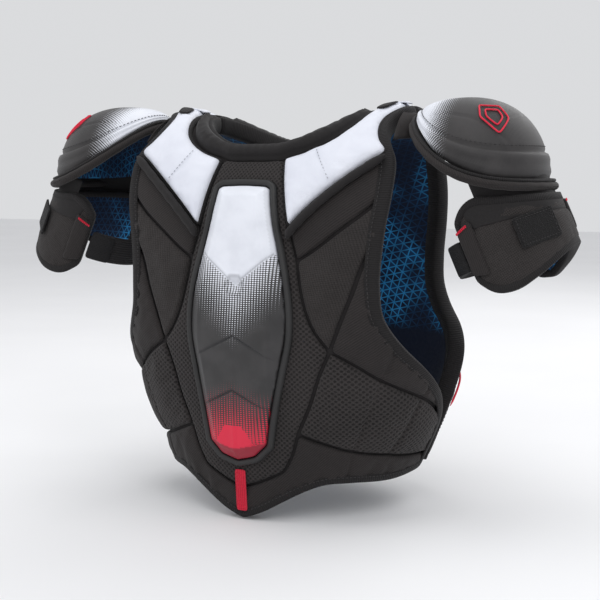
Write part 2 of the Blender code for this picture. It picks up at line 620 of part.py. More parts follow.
def arm_guard(label, hand, looks):
    guard = Guard(hand)
    front, rear = ARM_FRONT, ARM_BACK
    top = [(turn, ARM_TOP_DIP * max(0, cos(radians(turn)))) for turn in range(90, -91, -18)]
    shape = [(front, 0.014), (front - 14, 0.003), *top, (rear + 6, 0.004), (rear, 0.014)]
    shape += [(turn, ARM_LENGTH * share) for turn, share in GUARD_HEM]
    channel_edge = front - CHANNEL_WIDTH
    channel = (
        (front, CHANNEL_TOP), (channel_edge, CHANNEL_TOP - 0.006),
        (channel_edge, CHANNEL_BOTTOM + 0.006), (front, CHANNEL_BOTTOM),
    )
    channel_low = LAYER_GAP
    lining_top = -GUARD_FOAM - LAYER_GAP / 2
    made = [
        panel("arm_guard_pad_" + label, guard, shape, -GUARD_FOAM, 0, looks["fabric"], inset=LAYER_GAP),
        panel("arm_lining_" + label, guard, shape, lining_top - LINING, lining_top, looks["blue"]),
        panel(
            "arm_channel_" + label, guard, channel,
            channel_low, channel_low + CHANNEL, looks["fabric"], inset=LAYER_GAP / 2,
        ),
    ]
    centre = guard.place(*guard.flat(PATCH_TURN, PATCH_DROP), LAYER_GAP)
    across = guard.place(*guard.flat(PATCH_TURN - 1, PATCH_DROP), 0)
    across -= guard.place(*guard.flat(PATCH_TURN + 1, PATCH_DROP), 0)
    up = Vector((-hand * ARM_DOWN.x, 0, -ARM_DOWN.z))
    across = across.normalized() * hand
    up = (up - across * up.dot(across)).normalized()
    made.append(
        flat_plate("loop_patch_" + label, centre, across, up, PATCH_WIDTH, PATCH_HEIGHT, PATCH, looks["loop"])
    )
    hinge_empty("arm_guard_" + label, guard_hinge(hand), made)


def guard_hinge(hand):
    """Along the outer end of the cap, where the guard's hanger is sewn."""
    guard = Guard(hand)
    return guard.place(0, -ARM_DROP / 2, LAYER_GAP)


def arm_strap(label, hand, looks):
    """Elastic across the open side of the arm guard, from its rear edge to its front edge."""
    guard = Guard(hand)
    top, bottom = STRAP_TOP, STRAP_TOP + STRAP_WIDTH
    start, end = ARM_FRONT + 3, 360 + ARM_BACK - 3
    elastic = ((start, top), (end, top), (end, bottom), (start, bottom))
    tab = ((start, top), (start + HOOK_LENGTH, top), (start + HOOK_LENGTH, bottom), (start, bottom))
    low = -GUARD_FOAM / 2
    made = [
        panel("arm_elastic_" + label, guard, elastic, low, low + STRAP, looks["elastic"], inset=LAYER_GAP / 2),
        panel(
            "arm_hook_tab_" + label, guard, tab, low + STRAP + LAYER_GAP,
            low + 2 * STRAP + LAYER_GAP, looks["hook"], inset=LAYER_GAP / 2,
        ),
    ]
    hinge_empty("arm_strap_" + label, strap_hinge(hand), made)


def strap_hinge(hand):
    guard = Guard(hand)
    return guard.place(*guard.flat(ARM_BACK - 1.5, STRAP_TOP + STRAP_WIDTH / 2), -GUARD_FOAM / 2)


def main():
    clear_scene()
    looks = {
        "foam": material("black_foam_cover", (0.022, 0.020, 0.020), 0.9),
        "lining": material("black_mesh_lining", (0.012, 0.012, 0.014), 0.9),
        "mesh": material("black_perforated_knit", (0.018, 0.016, 0.017), 0.85),
        "fabric": material("black_fabric", (0.024, 0.021, 0.021), 0.8),
        "weave": material("black_weave", (0.026, 0.023, 0.023), 0.82),
        "neoprene": material("black_neoprene", (0.014, 0.013, 0.014), 0.7),
        "leather": material("white_leather", (0.82, 0.84, 0.88), 0.5),
        "plastic": material("white_plastic", (0.80, 0.82, 0.87), 0.35),
        "black_plastic": material("black_plastic", (0.015, 0.014, 0.015), 0.4),
        "rubber": material("black_rubber", (0.012, 0.012, 0.012), 0.6),
        "red": material("red_webbing", (0.62, 0.015, 0.04), 0.6),
        "blue": material("blue_patterned_lining", (0.01, 0.08, 0.22), 0.8),
        "loop": material("black_loop_fastener", (0.02, 0.019, 0.02), 0.95),
        "hook": material("black_hook_fastener", (0.018, 0.018, 0.02), 0.7),
        "elastic": material("black_elastic", (0.03, 0.028, 0.03), 0.8),
        "webbing": material("black_webbing", (0.018, 0.016, 0.016), 0.75),
    }
    chest(looks)
    breastbone(looks)
    back(looks)
    for label, hand in SIDES:
        cap_strap(label, hand, looks)
        cap(label, hand, looks)
        arm_guard(label, hand, looks)
        arm_strap(label, hand, looks)
        side_strap(label, hand, looks)


main()
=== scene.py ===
import json
from math import cos, pi, radians, sin

import bmesh
import bpy
import numpy as np
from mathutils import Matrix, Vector, noise
from mathutils.geometry import delaunay_2d_cdt


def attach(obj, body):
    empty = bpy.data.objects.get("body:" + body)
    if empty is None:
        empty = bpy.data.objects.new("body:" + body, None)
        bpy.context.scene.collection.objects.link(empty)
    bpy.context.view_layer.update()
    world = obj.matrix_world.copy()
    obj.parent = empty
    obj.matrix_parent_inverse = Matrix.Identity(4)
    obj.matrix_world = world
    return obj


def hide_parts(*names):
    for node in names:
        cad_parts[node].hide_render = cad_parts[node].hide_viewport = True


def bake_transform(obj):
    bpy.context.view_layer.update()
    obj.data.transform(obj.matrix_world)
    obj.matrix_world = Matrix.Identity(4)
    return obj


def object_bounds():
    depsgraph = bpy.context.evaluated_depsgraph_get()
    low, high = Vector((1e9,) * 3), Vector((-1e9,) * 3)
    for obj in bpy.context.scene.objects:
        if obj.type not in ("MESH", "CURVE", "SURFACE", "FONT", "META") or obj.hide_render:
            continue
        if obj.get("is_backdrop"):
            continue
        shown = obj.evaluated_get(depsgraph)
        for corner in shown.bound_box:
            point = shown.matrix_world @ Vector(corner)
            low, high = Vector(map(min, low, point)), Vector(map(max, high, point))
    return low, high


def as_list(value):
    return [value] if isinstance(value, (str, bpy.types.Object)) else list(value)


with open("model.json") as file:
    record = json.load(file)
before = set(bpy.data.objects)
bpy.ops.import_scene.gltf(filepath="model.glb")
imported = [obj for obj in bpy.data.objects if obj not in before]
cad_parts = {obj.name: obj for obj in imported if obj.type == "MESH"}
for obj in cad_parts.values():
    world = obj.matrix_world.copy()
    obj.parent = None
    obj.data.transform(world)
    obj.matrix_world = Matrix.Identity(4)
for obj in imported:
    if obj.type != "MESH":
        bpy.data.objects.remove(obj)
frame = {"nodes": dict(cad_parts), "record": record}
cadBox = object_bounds()
sides = (("left", 1), ("right", -1))
print("frame loaded,", len(frame["nodes"]), "nodes")

# the torso form that every sewn layer lies on, in metres
torso = {
    "halfWidth": 0.190,
    "depths": {-1: 0.104, 1: 0.098},  # front and back
    "rise": 0.110,  # chest line up to the shoulder
    "drop": 0.290,  # chest line down to the tip
    "flare": 0.17,
    "flareStart": 0.075,
    "flareEase": 0.020,
    "chestLine": -0.0971,
    "girth": 0.0021,  # one degree of turn along the form
    "sections": (  # share of the drop, half width, front and back depth, shift, squareness
        (1.07, 0.632, 1.173, 1.02, 0.0200, 2.0),
        (0.862, 0.720, 1.212, 1.06, 0.0180, 2.0),
        (0.655, 0.855, 1.212, 1.08, 0.0130, 2.1),
        (0.448, 0.960, 1.154, 1.07, 0.0060, 2.3),
        (0.241, 1.000, 1.077, 1.03, 0.0010, 2.7),
        (0.000, 1.000, 1.000, 1.00, 0.0000, 3.2),
        (-0.448, 1.000, 1.000, 1.00, 0.0000, 3.4),
    ),
}
level = {  # offsets from the torso form, outwards
    "padTop": 0.0034,
    "padBottom": -0.0006,
    "foamTop": -0.0017,
    "foamBottom": -0.0102,
    "liningTop": -0.0113,
    "liningBottom": -0.0129,
    "plate": 0.0045,
    "gap": 0.0011,
}
cap = {
    "centre": 0.2145,
    "forward": 0.011,
    "halfLength": 0.061,
    "halfDepth": 0.076,
    "rim": -0.048,
    "height": 0.079,
    "rimRise": 0.063,
    "rimCurve": 2.5,
    "peakShift": 0.014,
    "wall": 0.0035,
    "foam": 0.0080,
    "roll": 0.0050,
}
guard = {
    "radius": 0.060,
    "depth": 0.066,
    "lean": radians(24),
    "axis": 0.2245,
    "top": -0.066,
    "length": 0.090,
    "front": 116.0,
    "back": -102.0,
    "foam": 0.0080,
}
# outlines on the form: degrees from the centre, share of the height above or below the chest line
lines = {
    "neck": ((0, 0.53), (10, 0.53), (17, 0.54), (26, 0.60), (35, 0.72), (40, 0.86), (41.5, 1)),
    "shoulder": ((57, 1), (56.5, 0.88), (54.2, 0.75), (54, 0.62), (56, 0.50), (58.3, 0.40)),
    "strip": ((58.3, 0.40), (59, 0.20)),
    "pectoral": ((59, 0.20), (57.5, -0.01)),
    "side": (
        (57.5, -0.01), (56.3, -0.20), (57.5, -0.29), (60.5, -0.345), (66, -0.41), (73, -0.472),
        (80, -0.535), (86.5, -0.605),
    ),
    "flap": ((90, -0.66), (90.8, -0.80)),
    "hem": (
        (89, -0.852), (70, -0.867), (47, -0.862), (38, -0.865), (27, -0.897), (18, -0.934),
        (9, -0.972), (0, -1),
    ),
    "collarEdge": ((0, 0.415), (10, 0.415), (17, 0.42)),
    "collarSide": ((18.5, 0.43), (31, 0.49), (40, 0.605), (44, 0.73), (46, 0.86), (47, 1)),
    "yokeNeck": ((19.2, 0.41), (31.6, 0.475), (40.8, 0.59), (44.8, 0.72), (46.8, 0.86), (47.8, 1)),
    "yokeArm": ((55.8, 1), (55.3, 0.88), (53, 0.75), (52.8, 0.62), (54.8, 0.50), (57, 0.43)),
    "yokeLow": ((26, 0.011),),
    "stripSeam": ((59, 0.20), (54, 0.116), (45.5, 0.0), (35.5, -0.072), (29.4, -0.103)),
    "pectoralSeam": ((29.4, -0.103), (30.3, -0.17), (33, -0.28), (36, -0.341), (41, -0.40)),
    "sideSeam": ((57.5, -0.01), (52, -0.12), (49, -0.207), (45, -0.303), (41, -0.40)),
    "flankTop": ((41, -0.40), (48.5, -0.44), (57.7, -0.497), (64.6, -0.53), (77.4, -0.586)),
    "centreSeam": ((41, -0.40), (36, -0.50), (33, -0.576), (27, -0.69)),
    "lowSeam": ((27, -0.69), (36, -0.717), (49, -0.752), (63.5, -0.772), (75, -0.788)),
    "bellySeam": ((27, -0.69), (24, -0.769), (20, -0.828), (8.5, -0.869), (0, -0.893)),
    "backNeck": ((0, 0.56), (10, 0.56), (20, 0.59), (29, 0.66), (36, 0.77), (40.5, 0.90), (41.5, 1)),
    "backShoulder": ((57, 1), (57.5, 0.88), (58, 0.72), (59, 0.55), (58.8, 0.40)),
    "backArmhole": (
        (59, 0.20), (58.5, 0.0), (58, -0.12), (59, -0.22), (63, -0.30), (70, -0.37), (77, -0.45),
        (82, -0.54), (84, -0.60),
    ),
    "backCorner": ((84, -0.80), (82.5, -0.845)),
    "backHem": ((70, -0.858), (50, -0.862), (25, -0.87), (0, -0.875)),
    "backCollarEdge": ((0, 0.45), (12, 0.45), (20, 0.465), (23, 0.50)),
    "backCollarSide": ((24, 0.53), (33, 0.60), (40.5, 0.71), (45.5, 0.88), (47, 1)),
    "backYokeNeck": ((24.8, 0.51), (34, 0.585), (41.5, 0.70), (46.3, 0.875), (47.8, 1)),
    "backYokeArm": ((55.8, 1), (56.3, 0.88), (56.8, 0.72), (57.8, 0.55), (57.6, 0.43)),
    "backYokeLow": ((26, 0.16),),
    "spineSeam": ((26, 0.16), (27, -0.05), (29, -0.22), (29, -0.38), (26, -0.62), (23, -0.72)),
    "bladeSeam": ((63, -0.30), (48, -0.36), (29, -0.38)),
    "kidneySeam": ((84, -0.70), (60, -0.69), (26, -0.62)),
    "bezel": (  # these two in metres from the centre line and from the chest line
        (0.0, 0.050), (0.027, 0.049), (0.036, 0.043), (0.0415, 0.012), (0.049, -0.019),
        (0.057, -0.055), (0.060, -0.080), (0.060, -0.102), (0.0525, -0.140), (0.044, -0.180),
        (0.038, -0.215), (0.022, -0.231), (0.0, -0.2375),
    ),
    "spine": (
        (0.0, 0.046), (0.026, 0.045), (0.032, 0.036), (0.036, -0.020), (0.043, -0.070),
        (0.037, -0.140), (0.030, -0.178), (0.018, -0.190), (0.0, -0.195),
    ),
    "guardHem": (  # degrees from the outermost line, share of the length: a lobe at each end
        (-102, 0.80), (-94, 0.95), (-78, 1.0), (-60, 0.92), (-30, 0.80), (0, 0.78), (30, 0.86),
        (60, 0.97), (84, 1.02), (100, 0.98), (116, 0.80),
    ),
}


def curveBetween(t, start, end, leave, arrive):
    first = (2 * t**3 - 3 * t**2 + 1) * start + (t**3 - 2 * t**2 + t) * leave
    return first + ((3 * t**2 - 2 * t**3) * end + (t**3 - t**2) * arrive)


def unit(vectors):
    return vectors / np.maximum(np.linalg.norm(vectors, axis=-1), 1e-9)[..., None]


def lengthAlong(path):
    return np.concatenate([[0], np.cumsum(np.linalg.norm(np.diff(path, axis=0), axis=1))])


def sectionAt(drop):  # the form's measures at a share of the drop
    rows = np.array(torso["sections"])
    drop = np.clip(drop, rows[-1, 0], rows[0, 0])
    low = np.clip(np.searchsorted(-rows[:, 0], -drop) - 1, 0, len(rows) - 2)
    start, end = rows[low], rows[low + 1]
    before, after = rows[np.maximum(low - 1, 0)], rows[np.minimum(low + 2, len(rows) - 1)]
    span = (end - start)[:, :1]
    t = (drop[:, None] - start[:, :1]) / span
    leave = (end - before) / (end - before)[:, :1] * span
    arrive = (after - start) / (after - start)[:, :1] * span
    return curveBetween(t, start, end, leave, arrive)[:, 1:].T


class Torso:  # the front (-1) or the back (1) of the form
    def __init__(self, side):
        self.side = side

    def flat(self, outline):
        arc = torso["rise"] * pi / 2
        return np.array([(a * torso["girth"], s * (arc if s > 0 else torso["drop"])) for a, s in outline])

    def point(self, turn, height):
        rise = np.maximum(height, 0) / torso["rise"]
        drop = -np.minimum(height, 0) / torso["drop"] - 0.448 * np.minimum(rise, 1)
        width, front, back, shift, square = sectionAt(drop)
        depths = {-1: front * torso["depths"][-1], 1: back * torso["depths"][1]}
        s, c = np.sin(np.radians(turn)), np.cos(np.radians(turn))
        near = np.where(c > 0, depths[self.side], depths[-self.side])
        far = np.where(c > 0, depths[-self.side], depths[self.side])
        closing = np.cos(rise)
        depth = near * (1 + closing) / 2 + far * (1 - closing) / 2
        half = width * torso["halfWidth"]
        radius = (np.abs(s / half) ** square + np.abs(c / depth) ** square) ** (-1 / square)
        beyond = np.maximum(0, np.abs(radius * s) - torso["flareStart"])
        flare = torso["flare"] * beyond**2 / (beyond + torso["flareEase"]) * np.sin(rise)
        z = torso["chestLine"] + torso["rise"] * np.sin(rise) + np.minimum(height, 0) + flare
        return np.stack([radius * s, shift + self.side * radius * c * closing, z], axis=1)

    def place(self, x, height, offset):
        turn = x / torso["girth"]
        across = self.point(turn + 0.4, height) - self.point(turn - 0.4, height)
        up = self.point(turn, height + 0.0008) - self.point(turn, height - 0.0008)
        normal = unit(np.cross(across, up)) * -self.side
        return self.point(turn, height) + normal * np.reshape(offset, (-1, 1))


class Centre(Torso):  # the same form, measured in metres from its centre line
    def flat(self, outline):
        return np.array(outline, float)

    def place(self, x, height, offset):
        low, high = np.full(len(x), -70.0), np.full(len(x), 70.0)
        for _ in range(30):
            middle = (low + high) / 2
            short = self.point(middle, height)[:, 0] < x
            low, high = np.where(short, middle, low), np.where(short, high, middle)
        return super().place(low * torso["girth"], height, offset)


class Guard:  # an arm guard's outer face
    def __init__(self, hand):
        self.hand = hand
        self.girth = radians(1) * (guard["radius"] + guard["depth"]) / 2

    def flat(self, outline):
        return np.array([(a * self.girth, along) for a, along in outline])

    def place(self, x, along, offset):
        turn = np.radians(x / self.girth)
        s, c = sin(guard["lean"]), cos(guard["lean"])
        out = (guard["radius"] + offset) * np.cos(turn)
        px = guard["axis"] + s * along + c * out
        py = -cap["forward"] - (guard["depth"] + offset) * np.sin(turn)
        pz = guard["top"] - c * along + s * out
        return np.stack([self.hand * px, py, pz], axis=1)


class Dome:  # a shoulder cap's surface: flat places are (turn times a radius, share from the peak)
    def __init__(self, hand):
        self.hand = hand

    def at(self, turn, t, inset, sink=0.0):
        rimZ = cap["rim"] + cap["rimRise"] * ((1 - np.cos(turn)) / 2) ** cap["rimCurve"]
        peakZ = cap["rim"] + cap["height"] - inset
        reach = np.sin(np.clip(t, 0, 1) * pi / 2) ** 0.9
        fall = np.maximum(np.cos(np.clip(t, 0, 1) * pi / 2), 0) ** 0.9
        x = cap["centre"] + (cap["halfLength"] - inset) * np.cos(turn) * reach
        x -= cap["peakShift"] * (1 - reach)
        y = -cap["forward"] - (cap["halfDepth"] - inset) * np.sin(turn) * reach
        z = rimZ + (peakZ - rimZ) * fall - sink
        return np.stack([self.hand * x, y, z], axis=1)


# flat geometry
def backwards(points):
    return tuple(reversed(points))


def bothSides(half):
    return tuple(half) + tuple((-x, h) for x, h in reversed(half) if x > 0)


def onSide(outline, hand):
    return tuple((hand * x, h) for x, h in outline)


def smoothLine(points, step, closed=True, corner=32):  # rounds all but the sharp corners
    points = np.array(points, float)
    keep = np.linalg.norm(np.roll(points, -1, 0) - points, axis=1) > 1e-5
    if not closed:
        keep[-1] = True
    points = points[keep]
    count = len(points)
    after = np.roll(points, -1, 0) - points
    size = np.linalg.norm(after, axis=1)
    ahead = unit(after)
    before = np.roll(ahead, 1, 0)
    bend = np.degrees(np.arccos(np.clip((before * ahead).sum(1), -1, 1)))
    made = []
    for k in range(count if closed else count - 1):
        m = (k + 1) % count
        ends = []
        for j in (k, m):
            free = closed or 0 < j < count - 1
            if free and bend[j] < corner:
                share = size[j - 1] / (size[j - 1] + size[j])
                lean = before[j] * (1 - share) + ahead[j] * share
                ends.append(lean / np.linalg.norm(lean) * size[k])
            else:
                ends.append(after[k])
        parts = max(1, int(round(size[k] / step)))
        t = (np.arange(parts) / parts)[:, None]
        made.append(curveBetween(t, points[k], points[m], *ends))
    if not closed:
        made.append(points[-1:])
    made = np.concatenate(made)
    if closed:
        for _ in range(2):
            made = made / 2 + (np.roll(made, 1, 0) + np.roll(made, -1, 0)) / 4
    return made


def anticlockwise(loop):
    other = np.roll(loop, -1, 0)
    return (loop[:, 0] * other[:, 1] - other[:, 0] * loop[:, 1]).sum() > 0


def outwards(loop):  # unit normals of a closed flat loop, pointing out
    ahead = np.roll(loop, -1, 0) - np.roll(loop, 1, 0)
    normal = unit(np.stack([ahead[:, 1], -ahead[:, 0]], 1))
    return normal if anticlockwise(loop) else -normal


def insetLoop(loop, amount):
    return loop - outwards(loop) * amount


def nearest(points, line, closed=False):  # distance to a line, and how far along it
    start = line if closed else line[:-1]
    run = (np.roll(line, -1, 0) if closed else line[1:]) - start[: len(line)]
    size = np.maximum((run**2).sum(1), 1e-14)
    lengths = np.sqrt(size)
    begin = np.concatenate([[0], np.cumsum(lengths)[:-1]])
    best, along = np.full(len(points), 9.0), np.zeros(len(points))
    for first in range(0, len(points), 4000):
        rows = slice(first, first + 4000)
        gone = points[rows, None, :] - start[None]
        t = np.clip((gone * run[None]).sum(2) / size[None], 0, 1)
        left = np.linalg.norm(gone - run[None] * t[..., None], axis=2)
        pick = left.argmin(1)
        row = np.arange(len(pick))
        best[rows] = left[row, pick]
        along[rows] = begin[pick] + t[row, pick] * lengths[pick]
    return best, along


def inside(points, loop):
    other = np.roll(loop, -1, 0)
    x, y = points[:, :1], points[:, 1:]
    spans = (loop[None, :, 1] > y) != (other[None, :, 1] > y)
    rise = np.where(np.abs(other[:, 1] - loop[:, 1]) < 1e-12, 1e-12, other[:, 1] - loop[:, 1])
    cross = loop[None, :, 0] + (y - loop[None, :, 1]) * ((other - loop)[None, :, 0] / rise[None])
    return (spans & (x < cross)).sum(1) % 2 == 1


seamLanes = (0, -0.0011, 0.0011, -0.0026, 0.0026)  # rows of points beside a seam


def fill(loop, pitch, rings=(), seams=()):  # triangles over a closed loop, finer by its edge and seams
    extra = [insetLoop(loop, depth) for depth in rings]
    kept = [loop]
    for depth, ring in zip(rings, extra):
        away, _ = nearest(ring, loop, True)
        kept.append(ring[(away > 0.9 * depth) & inside(ring, loop)])
    margin = (max(rings) if rings else 0) + 0.5 * pitch
    lanes = []
    for seam in seams:
        run = np.gradient(seam, axis=0)
        normal = unit(np.stack([-run[:, 1], run[:, 0]], 1))
        for shift in seamLanes:
            lane = seam + normal * shift
            away, _ = nearest(lane, loop, True)
            lanes.append(lane[(away > margin * 0.6) & inside(lane, loop)])
    low, high = loop.min(0), loop.max(0)
    across = np.arange(low[0], high[0], pitch)
    up = np.arange(low[1], high[1], pitch * 0.866)
    grid = [(x + (0.5 * pitch if k % 2 else 0), y) for k, y in enumerate(up) for x in across]
    grid = np.array(grid).reshape(-1, 2)
    away, _ = nearest(grid, loop, True)
    grid = grid[(away > margin) & inside(grid, loop)]
    for seam in seams:
        if len(grid):
            grid = grid[nearest(grid, seam)[0] > seamLanes[-1] + 0.4 * pitch]
    points = np.concatenate(kept + lanes + [grid])
    _, first = np.unique(np.round(points / 0.00045).astype(int), axis=0, return_index=True)
    points = points[np.union1d(first, np.arange(len(loop)))]
    count = len(loop)
    found = delaunay_2d_cdt([Vector(p) for p in points], [], [list(range(count))], 1, 1e-7)
    flat = np.array([tuple(v) for v in found[0]])
    return flat, [tuple(f) for f in found[2]], count


def ripple(places, size, seed):  # smooth noise, about -1 to 1
    shift = Vector((seed * 7.3, seed * 3.1, seed * 5.7))
    return np.array([noise.noise(Vector(p) / size + shift) for p in places]) * 1.6


# meshes
def giveValues(mesh, values):  # numbers at the points that the looks read
    for key, value in values.items():
        attribute = mesh.attributes.new(key, "FLOAT", "POINT")
        attribute.data.foreach_set("value", np.asarray(value, np.float32))


def faceOut(piece, again=True):  # turns the faces of a closed skin outwards
    bm = bmesh.new()
    bm.from_mesh(piece.data)
    if again:
        bmesh.ops.recalc_face_normals(bm, faces=bm.faces)
    if bm.calc_volume(signed=True) < 0:
        bmesh.ops.reverse_faces(bm, faces=bm.faces)
    bm.to_mesh(piece.data)
    bm.free()


def makeMesh(name, points, faces, uvs=None, values=None):
    mesh = bpy.data.meshes.new(name)
    mesh.from_pydata([tuple(p) for p in points], [], faces)
    mesh.validate()
    if uvs is not None:
        uvLayer = mesh.uv_layers.new(name="clothMap")
        index = np.empty(len(mesh.loops), int)
        mesh.loops.foreach_get("vertex_index", index)
        uvLayer.data.foreach_set("uv", np.asarray(uvs, np.float32)[index].ravel())
    giveValues(mesh, values or {})
    mesh.shade_smooth()
    piece = bpy.data.objects.new(name, mesh)
    bpy.context.scene.collection.objects.link(piece)
    return piece


slots = {  # the finish that each look stands for
    "foamCover": "foam_cover",
    "knit": "perforated_knit",
    "fabric": "fabric",
    "weave": "weave",
    "neoprene": "neoprene",
    "tape": "fabric",
    "thread": "fabric",
    "loop": "loop_fastener",
    "hook": "hook_fastener",
    "elastic": "elastic",
    "redWeb": "red_webbing",
    "redThread": "red_webbing",
    "leather": "white_leather",
    "paleThread": "white_leather",
    "lattice": "patterned_lining",
    "rubber": "rubber",
    "plastic": "black_plastic",
    "cap": "black_plastic",
    "plate": "white_plastic",
}


def finishPiece(piece, look, body, nodes=(), fill=None, slotName=None):
    piece.data.materials.append(looks[look])
    slotName or slots[look]
    if body:
        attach(piece, body)
    if nodes:
        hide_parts(*nodes)
    return piece


air = {  # settings of the cloth that swells a sewn pad
    "quality": 4,
    "mass": 0.15,
    "tension_stiffness": 12,
    "compression_stiffness": 12,
    "shear_stiffness": 4,
    "bending_stiffness": 0.3,
    "use_pressure": True,
    "vertex_group_mass": "held",
}
lastStep = 20


def swellCloth(piece, held, swell):  # air pressure lifts the cloth between its seams
    group = piece.vertex_groups.new(name="held")
    group.add([int(k) for k in np.flatnonzero(held)], 1.0, "REPLACE")
    cloth = piece.modifiers.new("swell", "CLOTH")
    for key, value in air.items():
        setattr(cloth.settings, key, value)
    cloth.settings.uniform_pressure_force = swell["pressure"]
    cloth.settings.shrink_min = -swell["spare"]
    cloth.settings.effector_weights.gravity = 0
    cloth.collision_settings.use_self_collision = False
    cloth.collision_settings.use_collision = False
    scene = bpy.context.scene
    cloth.point_cache.frame_start, cloth.point_cache.frame_end = 1, lastStep
    for step in range(1, lastStep + 1):
        scene.frame_set(step)
    posed = piece.evaluated_get(bpy.context.evaluated_depsgraph_get())
    count = len(piece.data.vertices)
    moved, rest = np.empty(count * 3), np.empty(count * 3)
    posed.data.vertices.foreach_get("co", moved)
    piece.data.vertices.foreach_get("co", rest)
    rest, moved = rest.reshape(-1, 3), moved.reshape(-1, 3)
    shift = moved - rest
    size = np.linalg.norm(shift, axis=1)
    bad = ~np.isfinite(size)
    shift[bad], size[bad] = 0, 0
    limit = swell["limit"]
    shift *= (limit * np.tanh(size / limit) / np.maximum(size, 1e-9))[:, None]
    shift[held] = 0
    piece.modifiers.remove(cloth)
    piece.data.vertices.foreach_set("co", (rest + shift).ravel())
    piece.data.update()
    scene.frame_set(1)


sewing = {  # how every sewn layer is drawn, in metres
    "outlineStep": 0.0032,
    "seamStep": 0.0030,
    "basePitch": 0.009,
    "grooveWidth": 0.0013,
    "puckerReach": 0.012,
    "calmEdge": 0.004,
    "fineFold": 0.009,
    "broadFold": 0.035,
    "wearAndShadeReach": 0.0022,
    "heldEdge": 0.0012,
    "heldSeam": 0.0016,
}


def layer(name, surface, outline, low, high, inset=0.0015, pitch=0.0036, edge=0.0022, crown=0.0,
          reach=0.02, seams=(), groove=0.0011, sculpt=None, swell=None, wrinkle=0.0, corner=32):
    loop = insetLoop(smoothLine(surface.flat(outline), sewing["outlineStep"], corner=corner), inset)
    paths = [smoothLine(surface.flat(seam), sewing["seamStep"], closed=False) for seam in seams]
    flatTop, topFaces, count = fill(loop, pitch, (0.35 * edge, 0.9 * edge, 1.8 * edge), paths)
    flatLow, lowFaces, _ = fill(loop, max(sewing["basePitch"], pitch))
    away, _ = nearest(flatTop, loop, True)
    roundness = np.sqrt(1 - (1 - np.clip(away / (1.5 * edge), 0, 1)) ** 2)
    offset = low + (high - low) * (0.3 + 0.7 * roundness)
    offset += crown * np.sin(np.clip(away / reach, 0, 1) * pi / 2) ** 1.2
    seamAway = np.full(len(flatTop), 1.0)
    for path in paths:
        seamAway = np.minimum(seamAway, nearest(flatTop, path)[0])
    offset -= groove * np.exp(-((seamAway / sewing["grooveWidth"]) ** 2))
    if sculpt:
        offset += sculpt(flatTop, away)
    if wrinkle:
        places = np.column_stack([flatTop, np.zeros(len(flatTop))])
        near = np.exp(-np.minimum(away, seamAway) / sewing["puckerReach"])
        calm = np.clip(away / sewing["calmEdge"], 0, 1)
        folds = ripple(places, sewing["fineFold"], 1) * near + 0.6 * ripple(places, sewing["broadFold"], 2)
        offset += wrinkle * folds * calm
    top = surface.place(flatTop[:, 0], flatTop[:, 1], offset)
    base = surface.place(flatLow[:, 0], flatLow[:, 1], np.full(len(flatLow), low))
    total = len(flatTop)
    above = surface.place(flatTop[:, 0], flatTop[:, 1], offset + 0.001)
    some = topFaces[:50]
    a, b, c = (top[[f[k] for f in some]] for k in range(3))
    lift = (above - top)[[f[0] for f in some]]
    facesOut = (np.cross(b - a, c - a) * lift).sum() > 0
    sidesUp = anticlockwise(loop) == facesOut
    faces = [f if facesOut else f[::-1] for f in topFaces]
    faces += [tuple(total + k for k in (f[::-1] if facesOut else f)) for f in lowFaces]
    for k in range(count):
        m = (k + 1) % count
        quad = (m, k, total + k, total + m)
        faces.append(quad if sidesUp else quad[::-1])
    points = np.concatenate([top, base])
    # near the edges and seams: rubbed wear on the cloth, the plastic and the plate, and painted shade on the
    # white leather
    wear = np.exp(-np.minimum(away, seamAway) / sewing["wearAndShadeReach"])
    values = {"wear": np.concatenate([wear, np.zeros(len(flatLow))])}
    piece = makeMesh(name, points, faces, np.concatenate([flatTop, flatLow]), values)
    if swell:
        held = np.ones(len(points), bool)
        held[:total] = (away < sewing["heldEdge"]) | (seamAway < sewing["heldSeam"])
        swellCloth(piece, held, swell)
    return piece


def sewn(name, surface, outline, span, look, body, nodes=(), fill=None, slotName=None, **shape):
    return finishPiece(layer(name, surface, outline, *span, **shape), look, body, nodes, fill, slotName)


def sweep(name, sections, uvs=None, closed=False):  # joins a row of closed sections into one skin
    rows, ring = len(sections), len(sections[0])
    points = np.concatenate(sections)
    faces = []
    for k in range(rows if closed else rows - 1):
        m = (k + 1) % rows
        for j in range(ring):
            i = (j + 1) % ring
            faces.append((k * ring + j, k * ring + i, m * ring + i, m * ring + j))
    if not closed:
        faces.append(tuple(range(ring))[::-1])
        faces.append(tuple((rows - 1) * ring + j for j in range(ring)))
    piece = makeMesh(name, points, faces, uvs)
    faceOut(piece)
    return piece


def frames(path, closed=False):  # a level pair of side vectors along a path
    run = np.roll(path, -1, 0) - np.roll(path, 1, 0) if closed else np.gradient(path, axis=0)
    run = unit(run)
    one = np.empty_like(run)
    guess = np.array([0.0, 0.0, 1.0]) if abs(run[0][2]) < 0.9 else np.array([1.0, 0.0, 0.0])
    for k, ahead in enumerate(run):
        guess = guess - ahead * (guess @ ahead)
        guess = guess / np.linalg.norm(guess)
        one[k] = guess
    return run, one, np.cross(run, one)


def roll(name, path, radius, sideCount=12, closed=False, flatten=1.0, taper=True):
    path = np.asarray(path, float)
    _, one, two = frames(path, closed)
    radii = np.broadcast_to(np.asarray(radius, float), (len(path),)).copy()
    if taper and not closed:
        ends = np.minimum(np.arange(len(path)), np.arange(len(path))[::-1])
        radii *= np.clip(np.sqrt((ends + 0.25) / 2.5), 0, 1)
    angles = np.arange(sideCount) / sideCount * 2 * pi
    sections, uvs = [], []
    along = lengthAlong(path)
    for k, place in enumerate(path):
        circle = np.cos(angles)[:, None] * one[k] + np.sin(angles)[:, None] * two[k] * flatten
        sections.append(place + circle * radii[k])
        uvs.append(np.column_stack([np.full(sideCount, along[k]), angles * radii.mean()]))
    return sweep(name, sections, np.concatenate(uvs), closed)


